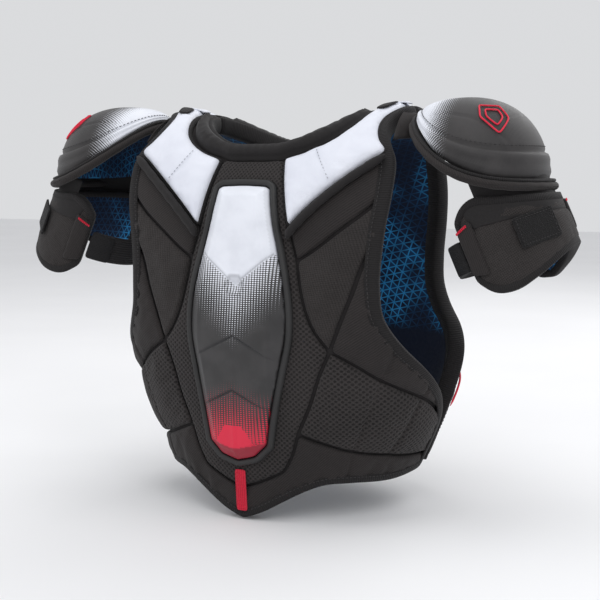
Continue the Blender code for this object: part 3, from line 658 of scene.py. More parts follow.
def tape(name, surface, path, profile, closed=True, hand=1):  # a section swept along a line on a surface
    path = np.asarray(path, float)
    if closed:
        normal = outwards(path)
    else:
        run = np.gradient(path, axis=0)
        normal = unit(np.stack([run[:, 1], -run[:, 0]], 1)) * hand
    along, girth = lengthAlong(path), lengthAlong(profile)
    sections, uvs = [], []
    for k, place in enumerate(path):
        spots = place - normal[k] * np.array(profile)[:, :1]
        offsets = np.array(profile)[:, 1]
        sections.append(surface.place(spots[:, 0], spots[:, 1], offsets))
        uvs.append(np.column_stack([np.full(len(profile), along[k]), girth]))
    return sweep(name, sections, np.concatenate(uvs), closed)


def wrapProfile(width, low, high, bulge, skin=0.0012):  # tape folded round an edge: (inwards, offset)
    middle, half = (low + high) / 2, (high - low) / 2
    outer = [(width, high)]
    for k in range(9):
        a = pi / 2 - pi * k / 8
        outer.append((-bulge * cos(a), middle + half * sin(a)))
    outer.append((width, low))
    inside = bulge + skin
    return outer + [(width, low + skin), (inside, low + skin), (inside, high - skin), (width, high - skin)]


def clothPanel(name, lines3d, thick=0.0014, step=0.0035):  # a thin closed cloth through a row of lines
    grid = np.array(lines3d, float)
    rowCount = max(3, int(np.linalg.norm(grid[-1] - grid[0], axis=1).mean() / step))
    at = np.linspace(0, len(grid) - 1, rowCount)
    low = np.clip(at.astype(int), 0, len(grid) - 2)
    t = (at - low)[:, None, None]
    slopes = np.gradient(grid, axis=0)
    grid = curveBetween(t, grid[low], grid[low + 1], slopes[low], slopes[low + 1])
    normal = unit(np.cross(np.gradient(grid, axis=0), np.gradient(grid, axis=1)))
    rows, columns = grid.shape[:2]
    down = np.linalg.norm(np.diff(grid, axis=0), axis=2)
    over = np.linalg.norm(np.diff(grid, axis=1), axis=2)
    area = 0.0
    for k in range(rows - 1):
        area += (over[k] * (down[k, 1:] + down[k, :-1]) / 2).sum()
    u = np.hstack([np.zeros((rows, 1)), np.cumsum(over, axis=1)])
    v = np.vstack([np.zeros((1, columns)), np.cumsum(down, axis=0)])
    sections, uvs = [], []
    for k in range(rows):
        above, below = grid[k] + normal[k] * thick / 2, grid[k] - normal[k] * thick / 2
        sections.append(np.concatenate([above, below[::-1]]))
        flat = np.column_stack([u[k], v[k]])
        uvs.append(np.concatenate([flat, flat[::-1]]))
    piece = sweep(name, sections, np.concatenate(uvs))
    size = (float(u[:, -1].max()), float(v[-1].max()))
    return piece, size, float(area)


def hangSheet(sheet, bodies, start, end, look, rests, held="stretched"):
    piece, size, area = sheet
    finishPiece(piece, look, None)
    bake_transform(piece)
    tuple(start)
    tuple(end)
    share = min(area, 0.999 * size[0] * size[1])
    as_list(rests)


def joined(name, pieces):  # several small meshes as one piece
    bm = bmesh.new()
    for piece in pieces:
        bm.from_mesh(piece.data)
    mesh = bpy.data.meshes.new(name)
    bm.to_mesh(mesh)
    bm.free()
    mesh.shade_smooth()
    for piece in pieces:
        bpy.data.objects.remove(piece)
    made = bpy.data.objects.new(name, mesh)
    bpy.context.scene.collection.objects.link(made)
    return made


def stitches(name, places, normals, length=0.0026, gap=0.0016, radius=0.00042):
    along = lengthAlong(places)
    marks = np.arange(gap, along[-1] - length, length + gap)
    at = lambda s, rows: np.array([np.interp(s, along, rows[:, k]) for k in range(3)])
    points, faces = [], []
    for mark in marks:
        begin, end = at(mark, places), at(mark + length, places)
        up = at(mark, normals)
        up /= np.linalg.norm(up)
        ahead = (end - begin) / np.linalg.norm(end - begin)
        side = np.cross(ahead, up)
        first = len(points)
        for t, size, sink in ((0, 0.35, -1.1), (0.2, 0.9, -0.1), (0.8, 0.9, -0.1), (1, 0.35, -1.1)):
            middle = begin + (end - begin) * t + up * radius * sink
            for k in range(6):
                a = 2 * pi * k / 6
                points.append(middle + (side * cos(a) + up * sin(a)) * radius * size)
        for row in range(3):
            for k in range(6):
                i, j = first + row * 6 + k, first + row * 6 + (k + 1) % 6
                faces.append((i, i + 6, j + 6, j))
        faces.append(tuple(first + k for k in range(6)))
        faces.append(tuple(first + 18 + k for k in range(6))[::-1])
    return makeMesh(name, points, faces)


def stitchLine(name, surface, path, offset, **sizes):
    lift = np.full(len(path), offset)
    places = surface.place(path[:, 0], path[:, 1], lift)
    normals = surface.place(path[:, 0], path[:, 1], lift + 0.001) - places
    return stitches(name, places, normals, **sizes)


# shader building
class Wire:  # a socket whose sums and products add Math nodes
    def __init__(self, look, socket):
        self.look, self.socket = look, socket

    def math(self, operation, *values):
        sockets = dict(enumerate(values))
        return self.look.add("ShaderNodeMath", {"operation": operation}, sockets)

    def __add__(self, other):
        return self.math("ADD", self, other)

    def __sub__(self, other):
        return self.math("SUBTRACT", self, other)

    def __mul__(self, other):
        return self.math("MULTIPLY", self, other)

    def __rsub__(self, other):
        return self.math("SUBTRACT", other, self)

    __radd__, __rmul__ = __add__, __mul__


class Look:  # one material and the nodes behind its Principled shader
    def __init__(self, name, **values):
        self.material = bpy.data.materials.new(name)
        self.material.use_nodes = True
        self.tree = self.material.node_tree
        self.shader = self.tree.nodes["Principled BSDF"]
        self.uv = self.add("ShaderNodeUVMap", {"uv_map": "clothMap"}, {})
        self.place = self.add("ShaderNodeTexCoord", {}, {}, "Object")
        for key, value in values.items():
            self.shader.inputs[key.replace("_", " ")].default_value = value

    def add(self, kind, settings, sockets, out=0):
        node = self.tree.nodes.new(kind)
        for key, value in settings.items():
            if key == "stops":
                ramp = node.color_ramp
                while len(ramp.elements) < len(value):
                    ramp.elements.new(0.5)
                for element, (spot, colour) in zip(ramp.elements, value):
                    element.position, element.color = spot, (*colour, 1)
            else:
                setattr(node, key, value)
        for key, value in sockets.items():
            if isinstance(value, Wire):
                self.tree.links.new(value.socket, node.inputs[key])
            else:
                node.inputs[key].default_value = value
        return Wire(self, node.outputs[out])

    def feed(self, name, wire):
        self.tree.links.new(wire.socket, self.shader.inputs[name])

    def value(self, name):
        return self.add("ShaderNodeAttribute", {"attribute_name": name}, {}, "Fac")

    def scaled(self, u, v, turn=0.0, source=None):
        sockets = {"Vector": source or self.uv, "Scale": (u, v, u), "Rotation": (0, 0, turn)}
        return self.add("ShaderNodeMapping", {}, sockets)

    def noise(self, scale, detail=3.0, rough=0.55, source=None):
        sockets = {"Vector": source or self.place, "Scale": scale, "Detail": detail, "Roughness": rough}
        return self.add("ShaderNodeTexNoise", {}, sockets)

    def cells(self, scale, source=None, even=0.0, feature="F1"):
        sockets = {"Vector": source or self.uv, "Scale": scale, "Randomness": even}
        return self.add("ShaderNodeTexVoronoi", {"feature": feature}, sockets)

    def stripes(self, scale, source=None, direction="X", warp=0.0):
        settings = {"bands_direction": direction}
        sockets = {"Vector": source or self.uv, "Scale": scale, "Distortion": warp}
        return self.add("ShaderNodeTexWave", settings, sockets, "Fac")

    def between(self, wire, low, high, start=0.0, end=1.0):
        sockets = {"Value": wire, "From Min": low, "From Max": high, "To Min": start, "To Max": end}
        return self.add("ShaderNodeMapRange", {"interpolation_type": "SMOOTHSTEP"}, sockets)

    def mix(self, factor, first, second, blend="MIX"):
        first = (*first, 1) if isinstance(first, tuple) else first
        second = (*second, 1) if isinstance(second, tuple) else second
        sockets = {0: factor, 6: first, 7: second}
        return self.add("ShaderNodeMix", {"data_type": "RGBA", "blend_type": blend}, sockets, 2)

    def bump(self, height, distance, strength=1.0, under=None):
        sockets = {"Height": height, "Distance": distance, "Strength": strength}
        if under:
            sockets["Normal"] = under
        return self.add("ShaderNodeBump", {}, sockets)


def clothLook(name, cloth):  # a fabric from its yarn colour, its pattern and its pile
    look = Look(name, Sheen_Weight=cloth.get("sheen", 0.06), Sheen_Roughness=0.5, Specular_IOR_Level=0.18)
    dark, light = cloth["dark"], cloth["light"]
    cloud = look.noise(22, 4)
    fuzz = look.noise(900, 2)
    pattern = cloth["pattern"](look)
    shade = look.between(cloud, 0.3, 0.7, 0.25, 0.75) * 0.3 + pattern * 0.45
    shade = shade + look.between(fuzz, 0.3, 0.7) * 0.25
    colour = look.mix(shade, dark, light)
    worn = look.between(look.value("wear") * cloud, 0.25, 0.6)
    colour = look.mix(worn * cloth.get("fade", 0.35), colour, cloth.get("worn", light))
    look.feed("Base Color", colour)
    look.feed("Roughness", look.between(cloud, 0.2, 0.8, cloth["rough"] - 0.06, cloth["rough"] + 0.06))
    soft = look.bump(fuzz, 0.0002, 0.5)
    look.feed("Normal", look.bump(pattern, cloth["relief"], 1.0, soft))
    return look.material


def perforated(look):  # staggered rows of small holes
    hole = look.cells(1.0, look.scaled(285, 285, pi / 4))
    return look.between(hole, 0.22, 0.46)


def basket(look):  # over and under yarns
    warp = look.stripes(1.0, look.scaled(115, 115, 0.6))
    weft = look.stripes(1.0, look.scaled(115, 115, 0.6), "Y")
    return warp * weft + (1 - warp) * (1 - weft)


def fineTwill(look):
    return look.stripes(1.0, look.scaled(170, 170, 0.8), "X", 0.6)


def smoothSkin(look):
    return look.noise(380, 3)


def grosgrain(look):  # ribs across a tape
    return look.stripes(1.0, look.scaled(150, 20))


def elasticRibs(look):
    return look.stripes(1.0, look.scaled(40, 120), "Y") * 0.7 + look.stripes(1.0, look.scaled(190, 190)) * 0.3


def loops(look):
    return look.cells(1.0, look.scaled(900, 900), 1.0)


def hooks(look):
    return look.between(look.cells(1.0, look.scaled(620, 620), 0.1), 0.1, 0.5)


black = (0.0105, 0.0095, 0.0098)
charcoal = (0.030, 0.0265, 0.0270)
looks = {
    "foamCover": clothLook("foam_cover", {
        "dark": black, "light": charcoal, "pattern": smoothSkin, "relief": 0.0002, "rough": 0.9}),
    "knit": clothLook("perforated_knit", {
        "dark": (0.002, 0.0018, 0.0018), "light": (0.047, 0.0415, 0.041), "pattern": perforated,
        "relief": 0.0006, "rough": 0.85}),
    "fabric": clothLook("fine_fabric", {
        "dark": (0.010, 0.0088, 0.0088), "light": (0.036, 0.031, 0.0305), "pattern": fineTwill,
        "relief": 0.00015, "rough": 0.8}),
    "weave": clothLook("basket_weave", {
        "dark": (0.007, 0.006, 0.0058), "light": (0.048, 0.0425, 0.0415), "pattern": basket,
        "relief": 0.0004, "rough": 0.82}),
    "neoprene": clothLook("neoprene", {
        "dark": (0.009, 0.0082, 0.0085), "light": (0.022, 0.020, 0.0205), "pattern": smoothSkin,
        "relief": 0.0001, "rough": 0.72}),
    "tape": clothLook("binding_tape", {
        "dark": (0.007, 0.0065, 0.0068), "light": (0.021, 0.019, 0.0195), "pattern": grosgrain,
        "relief": 0.0003, "rough": 0.75}),
    "loop": clothLook("loop_fastener", {
        "dark": (0.006, 0.006, 0.0062), "light": (0.020, 0.019, 0.0195), "pattern": loops,
        "relief": 0.0009, "rough": 0.95}),
    "hook": clothLook("hook_fastener", {
        "dark": (0.008, 0.008, 0.009), "light": (0.026, 0.025, 0.026), "pattern": hooks,
        "relief": 0.0008, "rough": 0.6, "sheen": 0.0}),
    "elastic": clothLook("ribbed_elastic", {
        "dark": (0.010, 0.0095, 0.0100), "light": (0.040, 0.037, 0.038), "pattern": elasticRibs,
        "relief": 0.0006, "rough": 0.8}),
    "redWeb": clothLook("red_webbing", {
        "dark": (0.36, 0.006, 0.020), "light": (0.72, 0.020, 0.055), "pattern": grosgrain,
        "relief": 0.0004, "rough": 0.6, "worn": (0.6, 0.05, 0.08)}),
    "redThread": clothLook("red_thread", {
        "dark": (0.50, 0.010, 0.03), "light": (0.78, 0.030, 0.07), "pattern": smoothSkin,
        "relief": 0.0001, "rough": 0.55, "worn": (0.6, 0.05, 0.08)}),
    "thread": clothLook("grey_thread", {
        "dark": (0.025, 0.0235, 0.024), "light": (0.055, 0.052, 0.053), "pattern": smoothSkin,
        "relief": 0.0001, "rough": 0.6}),
    "paleThread": clothLook("pale_thread", {
        "dark": (0.30, 0.31, 0.34), "light": (0.48, 0.50, 0.54), "pattern": smoothSkin,
        "relief": 0.0001, "rough": 0.6}),
}


lattice = {
    "scale": 42,
    "line": (0.915, 0.985),
    "navy": (0.004, 0.010, 0.030),
    "middle": (0.008, 0.075, 0.215),
    "dim": (0.010, 0.085, 0.230),
    "bright": (0.040, 0.400, 0.860),
    # painted shade: heights below which the print gives way to plain navy, and above which it dims
    "shadeBelow": (-0.214, -0.202),
    "shadeAbove": (-0.02, -0.08, 0.40, 1.0),
}


def leatherLook():  # white coated leather with a fine grain, and painted shade: a soft grey in its folds along its edges and seams
    look = Look("white_leather", Specular_IOR_Level=0.45, Coat_Roughness=0.3)
    cloud = look.noise(18, 4)
    grain = look.cells(1.0, look.scaled(560, 560), 1.0, "DISTANCE_TO_EDGE")
    colour = look.mix(look.between(cloud, 0.3, 0.7), (0.66, 0.68, 0.755), (0.74, 0.76, 0.83))
    # painted shade: the white greys towards its edges and seams
    edgeShade = look.between(look.value("wear") * look.noise(120, 3), 0.2, 0.6)
    colour = look.mix(edgeShade * 0.55, colour, (0.42, 0.43, 0.46))
    look.feed("Base Color", colour)
    look.feed("Roughness", look.between(cloud, 0.2, 0.8, 0.42, 0.56))
    fine = look.bump(look.between(grain, 0.0, 0.12), 0.00012, 0.7)
    look.feed("Normal", look.bump(look.noise(160, 3), 0.0002, 0.5, fine))
    return look.material


def latticeLook():  # navy lining with thin bright blue lines that cross in triangles
    look = Look("patterned_lining", Sheen_Weight=0.05, Specular_IOR_Level=0.25)
    total = None
    for turn in (0.0, pi / 3, 2 * pi / 3):
        line = 1 - look.stripes(1.0, look.scaled(lattice["scale"], lattice["scale"], turn + 0.26))
        line = look.between(line, *lattice["line"])
        total = total.math("MAXIMUM", total, line) if total else line
    patch = look.between(look.noise(14, 2), 0.38, 0.62)
    filled = look.between(look.cells(1.0, look.scaled(96, 96, 0.26), 0.9), 0.25, 0.75) * patch
    ground = look.mix(filled * 0.55, lattice["navy"], lattice["middle"])
    bright = look.mix(patch, lattice["dim"], lattice["bright"])
    printed = look.mix(total * (patch * 0.6 + 0.3), ground, bright)
    # painted shade by height: the print gives way to plain navy low inside the garment and dims towards the
    # top
    height = look.add("ShaderNodeSeparateXYZ", {}, {"Vector": look.place}, "Z")
    shown = look.between(height, *lattice["shadeBelow"]) * look.between(height, *lattice["shadeAbove"])
    look.feed("Base Color", look.mix(shown, lattice["navy"], printed))
    look.feed("Roughness", look.between(look.noise(300, 2), 0.3, 0.7, 0.66, 0.8))
    knit = look.cells(1.0, look.scaled(700, 700), 0.1)
    look.feed("Normal", look.bump(knit, 0.0003, 0.7))
    return look.material


def mouldedLook(name, dark, light, rough):  # fine-textured moulded plastic, rubbed along its edges
    look = Look(name, Specular_IOR_Level=0.5)
    cloud = look.noise(30, 4)
    grain = look.noise(1500, 2)
    rubbed = look.between(look.value("wear") * look.noise(70, 3), 0.25, 0.6)
    colour = look.mix(look.between(cloud, 0.3, 0.7), dark, light)
    pale = tuple(0.6 * c + 0.05 for c in light)
    look.feed("Base Color", look.mix(rubbed * 0.4, colour, pale))
    look.feed("Roughness", look.between(cloud, 0.25, 0.75, rough - 0.05, rough + 0.08) - rubbed * 0.06)
    look.feed("Normal", look.bump(grain, 0.00015, 0.6))
    return look.material


def plateLook():  # white to black to red along the plate, each fade printed as a halftone
    look = Look("printed_plate", Specular_IOR_Level=0.5)
    dashes = look.cells(1.0, look.scaled(340, 500, 0))
    cloud = look.noise(40, 4)
    inkWhite = look.between(dashes - look.value("fade"), -0.10, 0.0, 1.0, 0.0)
    inkRed = look.between(dashes - look.value("redness"), -0.10, 0.0, 1.0, 0.0)
    white = look.mix(look.between(cloud, 0.3, 0.7), (0.68, 0.70, 0.76), (0.75, 0.77, 0.83))
    dark = look.mix(look.between(cloud, 0.3, 0.7), (0.020, 0.019, 0.0195), (0.034, 0.032, 0.033))
    red = look.mix(look.value("shade"), (0.66, 0.010, 0.045), (0.30, 0.008, 0.026))
    colour = look.mix(inkWhite, dark, white)
    colour = look.mix(inkRed, colour, red)
    # painted shade: darkens the dimple, the V groove, the side bevels and the creases towards black
    colour = look.mix(look.value("tone"), colour, (0.006, 0.006, 0.008))
    rubbed = look.between(look.value("wear") * look.noise(90, 3), 0.3, 0.7)
    look.feed("Base Color", look.mix(rubbed * 0.25, colour, (0.30, 0.30, 0.31)))
    look.feed("Roughness", look.between(cloud, 0.25, 0.75, 0.36, 0.48))
    look.feed("Normal", look.bump(look.noise(1400, 2), 0.0001, 0.5))
    return look.material


def capLook():  # dark fabric over the shell, with a white printed fade at its inner end
    look = Look("printed_cap", Specular_IOR_Level=0.4, Sheen_Weight=0.1)
    dots = look.cells(1.0, look.scaled(430, 430, 0.4))
    cloud = look.noise(26, 4)
    ink = look.between(dots - look.value("fade"), -0.10, 0.0, 1.0, 0.0)
    white = look.mix(look.between(cloud, 0.3, 0.7), (0.66, 0.68, 0.74), (0.75, 0.77, 0.83))
    dark = look.mix(look.between(cloud, 0.3, 0.7), (0.014, 0.0125, 0.013), (0.034, 0.031, 0.0315))
    look.feed("Base Color", look.mix(ink, dark, white))
    look.feed("Roughness", look.between(cloud, 0.25, 0.75, 0.50, 0.66))
    twill = look.stripes(1.0, look.scaled(190, 190, 0.8))
    look.feed("Normal", look.bump(twill, 0.00012, 0.6, look.bump(look.noise(1000, 2), 0.0001, 0.5)))
    return look.material


looks["leather"] = leatherLook()
looks["lattice"] = latticeLook()
looks["rubber"] = mouldedLook("moulded_rubber", (0.008, 0.0078, 0.008), (0.017, 0.0165, 0.017), 0.55)
looks["plastic"] = mouldedLook("black_plastic", (0.009, 0.0085, 0.009), (0.020, 0.019, 0.020), 0.38)
looks["plate"] = plateLook()
looks["cap"] = capLook()
print("materials made:", len(looks))

front, rear = Torso(-1), Torso(1)
frontMiddle, rearMiddle = Centre(-1), Centre(1)
padTop, padBottom, foamTop, foamBottom = (level[k] for k in ("padTop", "padBottom", "foamTop", "foamBottom"))


# chest
chestEdge = (lines["neck"] + lines["shoulder"] + lines["strip"][1:] + lines["pectoral"][1:]
             + lines["side"][1:] + lines["flap"] + lines["hem"])
wholeChest = bothSides(chestEdge)
backEdge = (lines["backNeck"] + lines["backShoulder"] + lines["backArmhole"] + lines["backCorner"]
            + lines["backHem"])
wholeBack = bothSides(backEdge)
binding = {
    "step": 0.0036,
    "width": 0.0072,
    "top": padTop + 0.0009,
    "bottom": level["liningBottom"] - 0.0004,
    "bulge": 0.0020,
    "stitchIn": 0.0056,
}


def basePad(name, surface, outline, body):  # the foam, its lining and the tape round both
    sewn(name + "Pad", surface, outline, (foamBottom, foamTop), "foamCover", body, (name + "_foam",), 0.8,
         pitch=0.0065, edge=0.0030, wrinkle=0.0002)
    span = level["liningTop"] + 0.0004, level["liningBottom"] + 0.0003
    sewn(name + "Lining", surface, outline, span, "lattice", body, (name + "_lining",), 0.3, "mesh_lining",
         inset=0.003, pitch=0.0060, edge=0.0012, crown=-0.0004, reach=0.03)
    loop = smoothLine(surface.flat(outline), binding["step"])
    profile = wrapProfile(binding["width"], binding["bottom"], binding["top"], binding["bulge"])
    finishPiece(tape(name + "Binding", surface, loop, profile), "tape", body)
    stitchPath = insetLoop(loop, binding["stitchIn"])
    thread = stitchLine(name + "BindingStitch", surface, stitchPath, binding["top"] + 0.0001)
    finishPiece(thread, "thread", body)


basePad("chest", front, wholeChest, "chest")
print("chest base made")


def sewnPad(name, surface, outline, node, body, look, **shape):
    shape = {"edge": 0.0022, "crown": 0.0010, "wrinkle": 0.0002, **shape}
    sewn(name, surface, outline, (padBottom, padTop), look, body, (node,), 0.6, **shape)


puff = {"pressure": 4.0, "limit": 0.0016, "spare": 0.02}

centreOutline = bothSides(lines["collarEdge"] + lines["yokeNeck"][:1] + lines["yokeLow"]
                          + lines["pectoralSeam"] + lines["centreSeam"][1:] + lines["bellySeam"][1:])
sewnPad("centrePanel", front, centreOutline, "centre_mesh_panel", "chest", "knit",
        crown=0.0004, pitch=0.0042)
bellyOutline = bothSides(backwards(lines["bellySeam"]) + lines["lowSeam"][1:] + lines["flap"][1:]
                         + lines["hem"])
bellySeams = [((turn, -0.752), (turn - np.sign(turn) * 2, -0.86)) for turn in (49, -49)]
sewnPad("bellyPad", front, bellyOutline, "belly_panel", "chest", "fabric", seams=bellySeams,
        groove=0.0019, swell=puff)


def collarRibs(path, width):
    def shape(flat, away):
        _, along = nearest(flat, path)
        ribs = np.sin(along / 0.0042 * 2 * pi)
        return 0.00035 * ribs * np.clip(away / 0.004, 0, 1) - 0.0040 * np.clip(1 - away / width, 0, 1) ** 2
    return shape


def collar(name, surface, neck, sideLine, edgeLine, node, body):
    outline = bothSides(neck + backwards(sideLine) + backwards(edgeLine))
    half = surface.flat(neck)
    path = np.concatenate([half[::-1] * (-1, 1), half[1:]])
    sewn(name, surface, outline, (padBottom, padBottom + 0.0125), "neoprene", body, (node,), 0.8,
         pitch=0.0030, edge=0.0052, sculpt=collarRibs(path, 0.0075), wrinkle=0.0001)


collar("collarFront", front, lines["neck"], lines["collarSide"], lines["collarEdge"], "collar_front", "chest")
print("chest centre and collar made")


yokeForm = {
    "top": padBottom + 0.0095,
    "corner": 72,
    "creaseDepth": 0.0012,
    "threadAt": padBottom + 0.0109,
    "swell": {"pressure": 5.0, "limit": 0.0018, "spare": 0.015},
    "edgeTape": (
        (0.0016, 0.0042), (0.0004, 0.0050), (-0.0008, 0.0040), (-0.0012, 0.0010),
        (-0.0008, padBottom - 0.0002), (0.0012, padBottom - 0.0002), (0.0014, 0.0020),
    ),
}


def yokeSet(name, surface, neck, arm, low, crease, hand, node, body):  # leather yoke, its edge and crease
    near = tuple(0.88 * a + 0.12 * b for a, b in zip(arm[-1], low[0]))
    outline = onSide(neck + arm + (near,) + low, hand)
    creaseEnds = surface.flat(onSide(crease, hand))

    def folds(points, away):
        gone, _ = nearest(points, creaseEnds)
        crease = -yokeForm["creaseDepth"] * np.exp(-((gone / 0.0022) ** 2))
        return crease + 0.0006 * np.exp(-((gone / 0.008) ** 2))

    sewn(name, surface, outline, (padBottom, yokeForm["top"]), "leather", body, (node,), 0.8, inset=0.0008,
         pitch=0.0034, edge=0.0034, crown=0.0014, reach=0.024, sculpt=folds, wrinkle=0.00025,
         corner=yokeForm["corner"], swell=yokeForm["swell"])
    loop = smoothLine(surface.flat(outline), 0.0034, corner=yokeForm["corner"])
    finishPiece(tape(name + "Binding", surface, loop, yokeForm["edgeTape"]), "tape", body)
    seam = smoothLine(creaseEnds + (0, 0.0026), 0.003, closed=False)
    thread = stitchLine(name + "Stitch", surface, seam, yokeForm["threadAt"], length=0.0022, gap=0.0018)
    finishPiece(thread, "paleThread", body)


quilting = {  # sewn channels across the pads
    "side": (((62.5, -0.385), (57.7, -0.497)), ((77, -0.51), (73.5, -0.57))),
    "flank": (((57.7, -0.497), (49, -0.752)), ((73.5, -0.57), (64.5, -0.772))),
    "blade": (((31, 0.02), (57, 0.10)), ((31, -0.18), (57, -0.10))),
    "wing": (((31, -0.48), (60, -0.44), (78, -0.56)), ((30, -0.57), (60, -0.56), (80, -0.64))),
}
yokeRoll = {"points": 41, "below": 0.038, "lift": 0.0051, "radius": 0.0041, "uneven": 0.00025}
strapForm = {
    "sideTop": -0.655,  # share of the drop
    "sideBottom": -0.765,
    "sideInset": 0.012,
    "sideTurns": (83.5, 112),
    "sideTabTurns": (96, 112),
    "armHeights": (0.030, 0.062),  # from the top of the guard
    "armTabTurns": 26,
    "thick": 0.0017,
    "patch": 0.0018,
}


def seamsOn(pad, hand):
    return [onSide(seam, hand) for seam in quilting[pad]]


def boxed(turns, heights):
    (a, b), (top, bottom) = turns, heights
    return ((a, top), (b, top), (b, bottom), (a, bottom))


for label, hand in sides:
    title = label.capitalize()
    yokeSet("yokeFront" + title, front, lines["yokeNeck"], lines["yokeArm"], lines["yokeLow"],
            ((34, 0.45), (42, 0.25)), hand, "yoke_front_" + label, "chest")
    strip = lines["yokeLow"] + lines["yokeArm"][-1:] + lines["strip"] + lines["stripSeam"][1:]
    sewnPad("shoulderStrip" + title, front, onSide(strip, hand), "shoulder_strip_" + label, "chest", "fabric",
            crown=0.0008, reach=0.010)
    pectoral = (backwards(lines["stripSeam"]) + lines["pectoral"][1:] + lines["sideSeam"][1:]
                + backwards(lines["pectoralSeam"])[1:-1])
    sewnPad("pectoralPad" + title, front, onSide(pectoral, hand), "pectoral_pad_" + label, "chest", "weave",
            crown=0.0030, reach=0.030, swell=puff)
    sidePad = (lines["side"] + ((88, -0.645),) + backwards(lines["flankTop"])
               + backwards(lines["sideSeam"])[1:-1])
    sewnPad("sidePad" + title, front, onSide(sidePad, hand), "side_pad_" + label, "chest", "fabric",
            crown=0.0022, reach=0.022, seams=seamsOn("side", hand), groove=0.0019, swell=puff)
    flank = (lines["flankTop"] + lines["flap"] + backwards(lines["lowSeam"])
             + backwards(lines["centreSeam"])[1:-1])
    sewnPad("flankPad" + title, front, onSide(flank, hand), "flank_pad_" + label, "chest", "knit",
            crown=0.0026, reach=0.026, seams=seamsOn("flank", hand), groove=0.0019, swell=puff)
    start, end = np.array(lines["yokeLow"][0]), np.array(lines["yokeArm"][-1])
    count = yokeRoll["points"]
    rollPath = [start + (end - start) * k / (count - 1) - (0, yokeRoll["below"]) for k in range(count)]
    flatPath = front.flat(onSide(rollPath, hand))
    rollLine = front.place(flatPath[:, 0], flatPath[:, 1], np.full(count, padTop + yokeRoll["lift"]))
    radii = yokeRoll["radius"] + yokeRoll["uneven"] * np.sin(np.arange(count) * 1.1)
    rollPiece = roll("yokeRoll" + title, rollLine, radii, 14)
    finishPiece(rollPiece, "neoprene", "chest", ("yoke_roll_" + label,), 0.9)
    landing = boxed((60, 88), (strapForm["sideTop"], strapForm["sideBottom"]))
    landingTop = level["liningBottom"] - 2 * level["gap"]
    sewn("strapLanding" + title, front, onSide(landing, hand), (landingTop, landingTop - strapForm["patch"]),
         "loop", "chest", ("strap_landing_" + label,), pitch=0.0050, edge=0.0008)
print("chest pads made")


# breastbone plate, frame and core
plate = {
    "bevel": 0.0105,
    "crown": 0.0068,
    "wall": 0.0030,
    "dimple": -0.055,
    "dimpleSize": 0.0085,
    "slope": 0.80,  # of the V over the dimple
    "creases": (-0.104, -0.157),
    "creaseSlope": 0.50,
    "whiteTo": -0.124,
    "redFrom": -0.138,
    "redFull": -0.193,
    "lowFacets": -0.215,
    "facetHalf": 0.009,
    "frame": 0.0075,
    "coreIn": 0.0100,
    "frameRound": (
        (0.0011, 0.0046), (0.0012, 0.0056), (0.0018, 0.0072), (0.0028, 0.0086), (0.0040, 0.0094),
        (0.0056, 0.0092), (0.0070, 0.0084), (0.0078, 0.0070), (0.0078, 0.0046),
    ),
}
tab = {"top": -0.2388, "bottom": -0.2825, "half": 0.0060, "thick": 0.0017, "rib": 0.0035}


def dimpleRing(x, h):  # 1 on the hexagon of the dimple's rim
    rise = np.abs(h - plate["dimple"])
    return np.maximum(rise, 0.866 * x + 0.5 * rise) / plate["dimpleSize"]


def plateShape(flat, away):
    x, h = np.abs(flat[:, 0]), flat[:, 1]
    lift = np.clip(away / plate["bevel"], 0, 1)
    shape = plate["crown"] * lift
    above = h - plate["dimple"] - x * plate["slope"]
    shape -= 0.0008 * np.exp(-((above / 0.0012) ** 2)) * lift
    shape += 0.0008 * np.clip(above / 0.003, 0, 1) * lift
    ring = dimpleRing(x, h)
    shape -= (0.0036 * np.clip(1.1 - ring, 0, 0.7) - 0.0007 * np.exp(-(((ring - 1.2) / 0.12) ** 2))) * lift
    for crease in plate["creases"]:
        below = h - (crease - x * plate["creaseSlope"])
        shape -= 0.0015 * np.exp(-((below / 0.0011) ** 2)) * np.clip(1.3 - x / 0.036, 0, 1) * lift
        shape += 0.0014 * np.clip(1 - below / 0.030, 0, 1) * (below > 0) * lift
    ridge = np.clip(1 - x / 0.004, 0, 1) * (h < plate["creases"][1])
    facets = np.clip((plate["lowFacets"] + 0.35 * x - h) / 0.012, 0, 1)
    return shape + (0.0008 * ridge - 0.0020 * facets) * lift


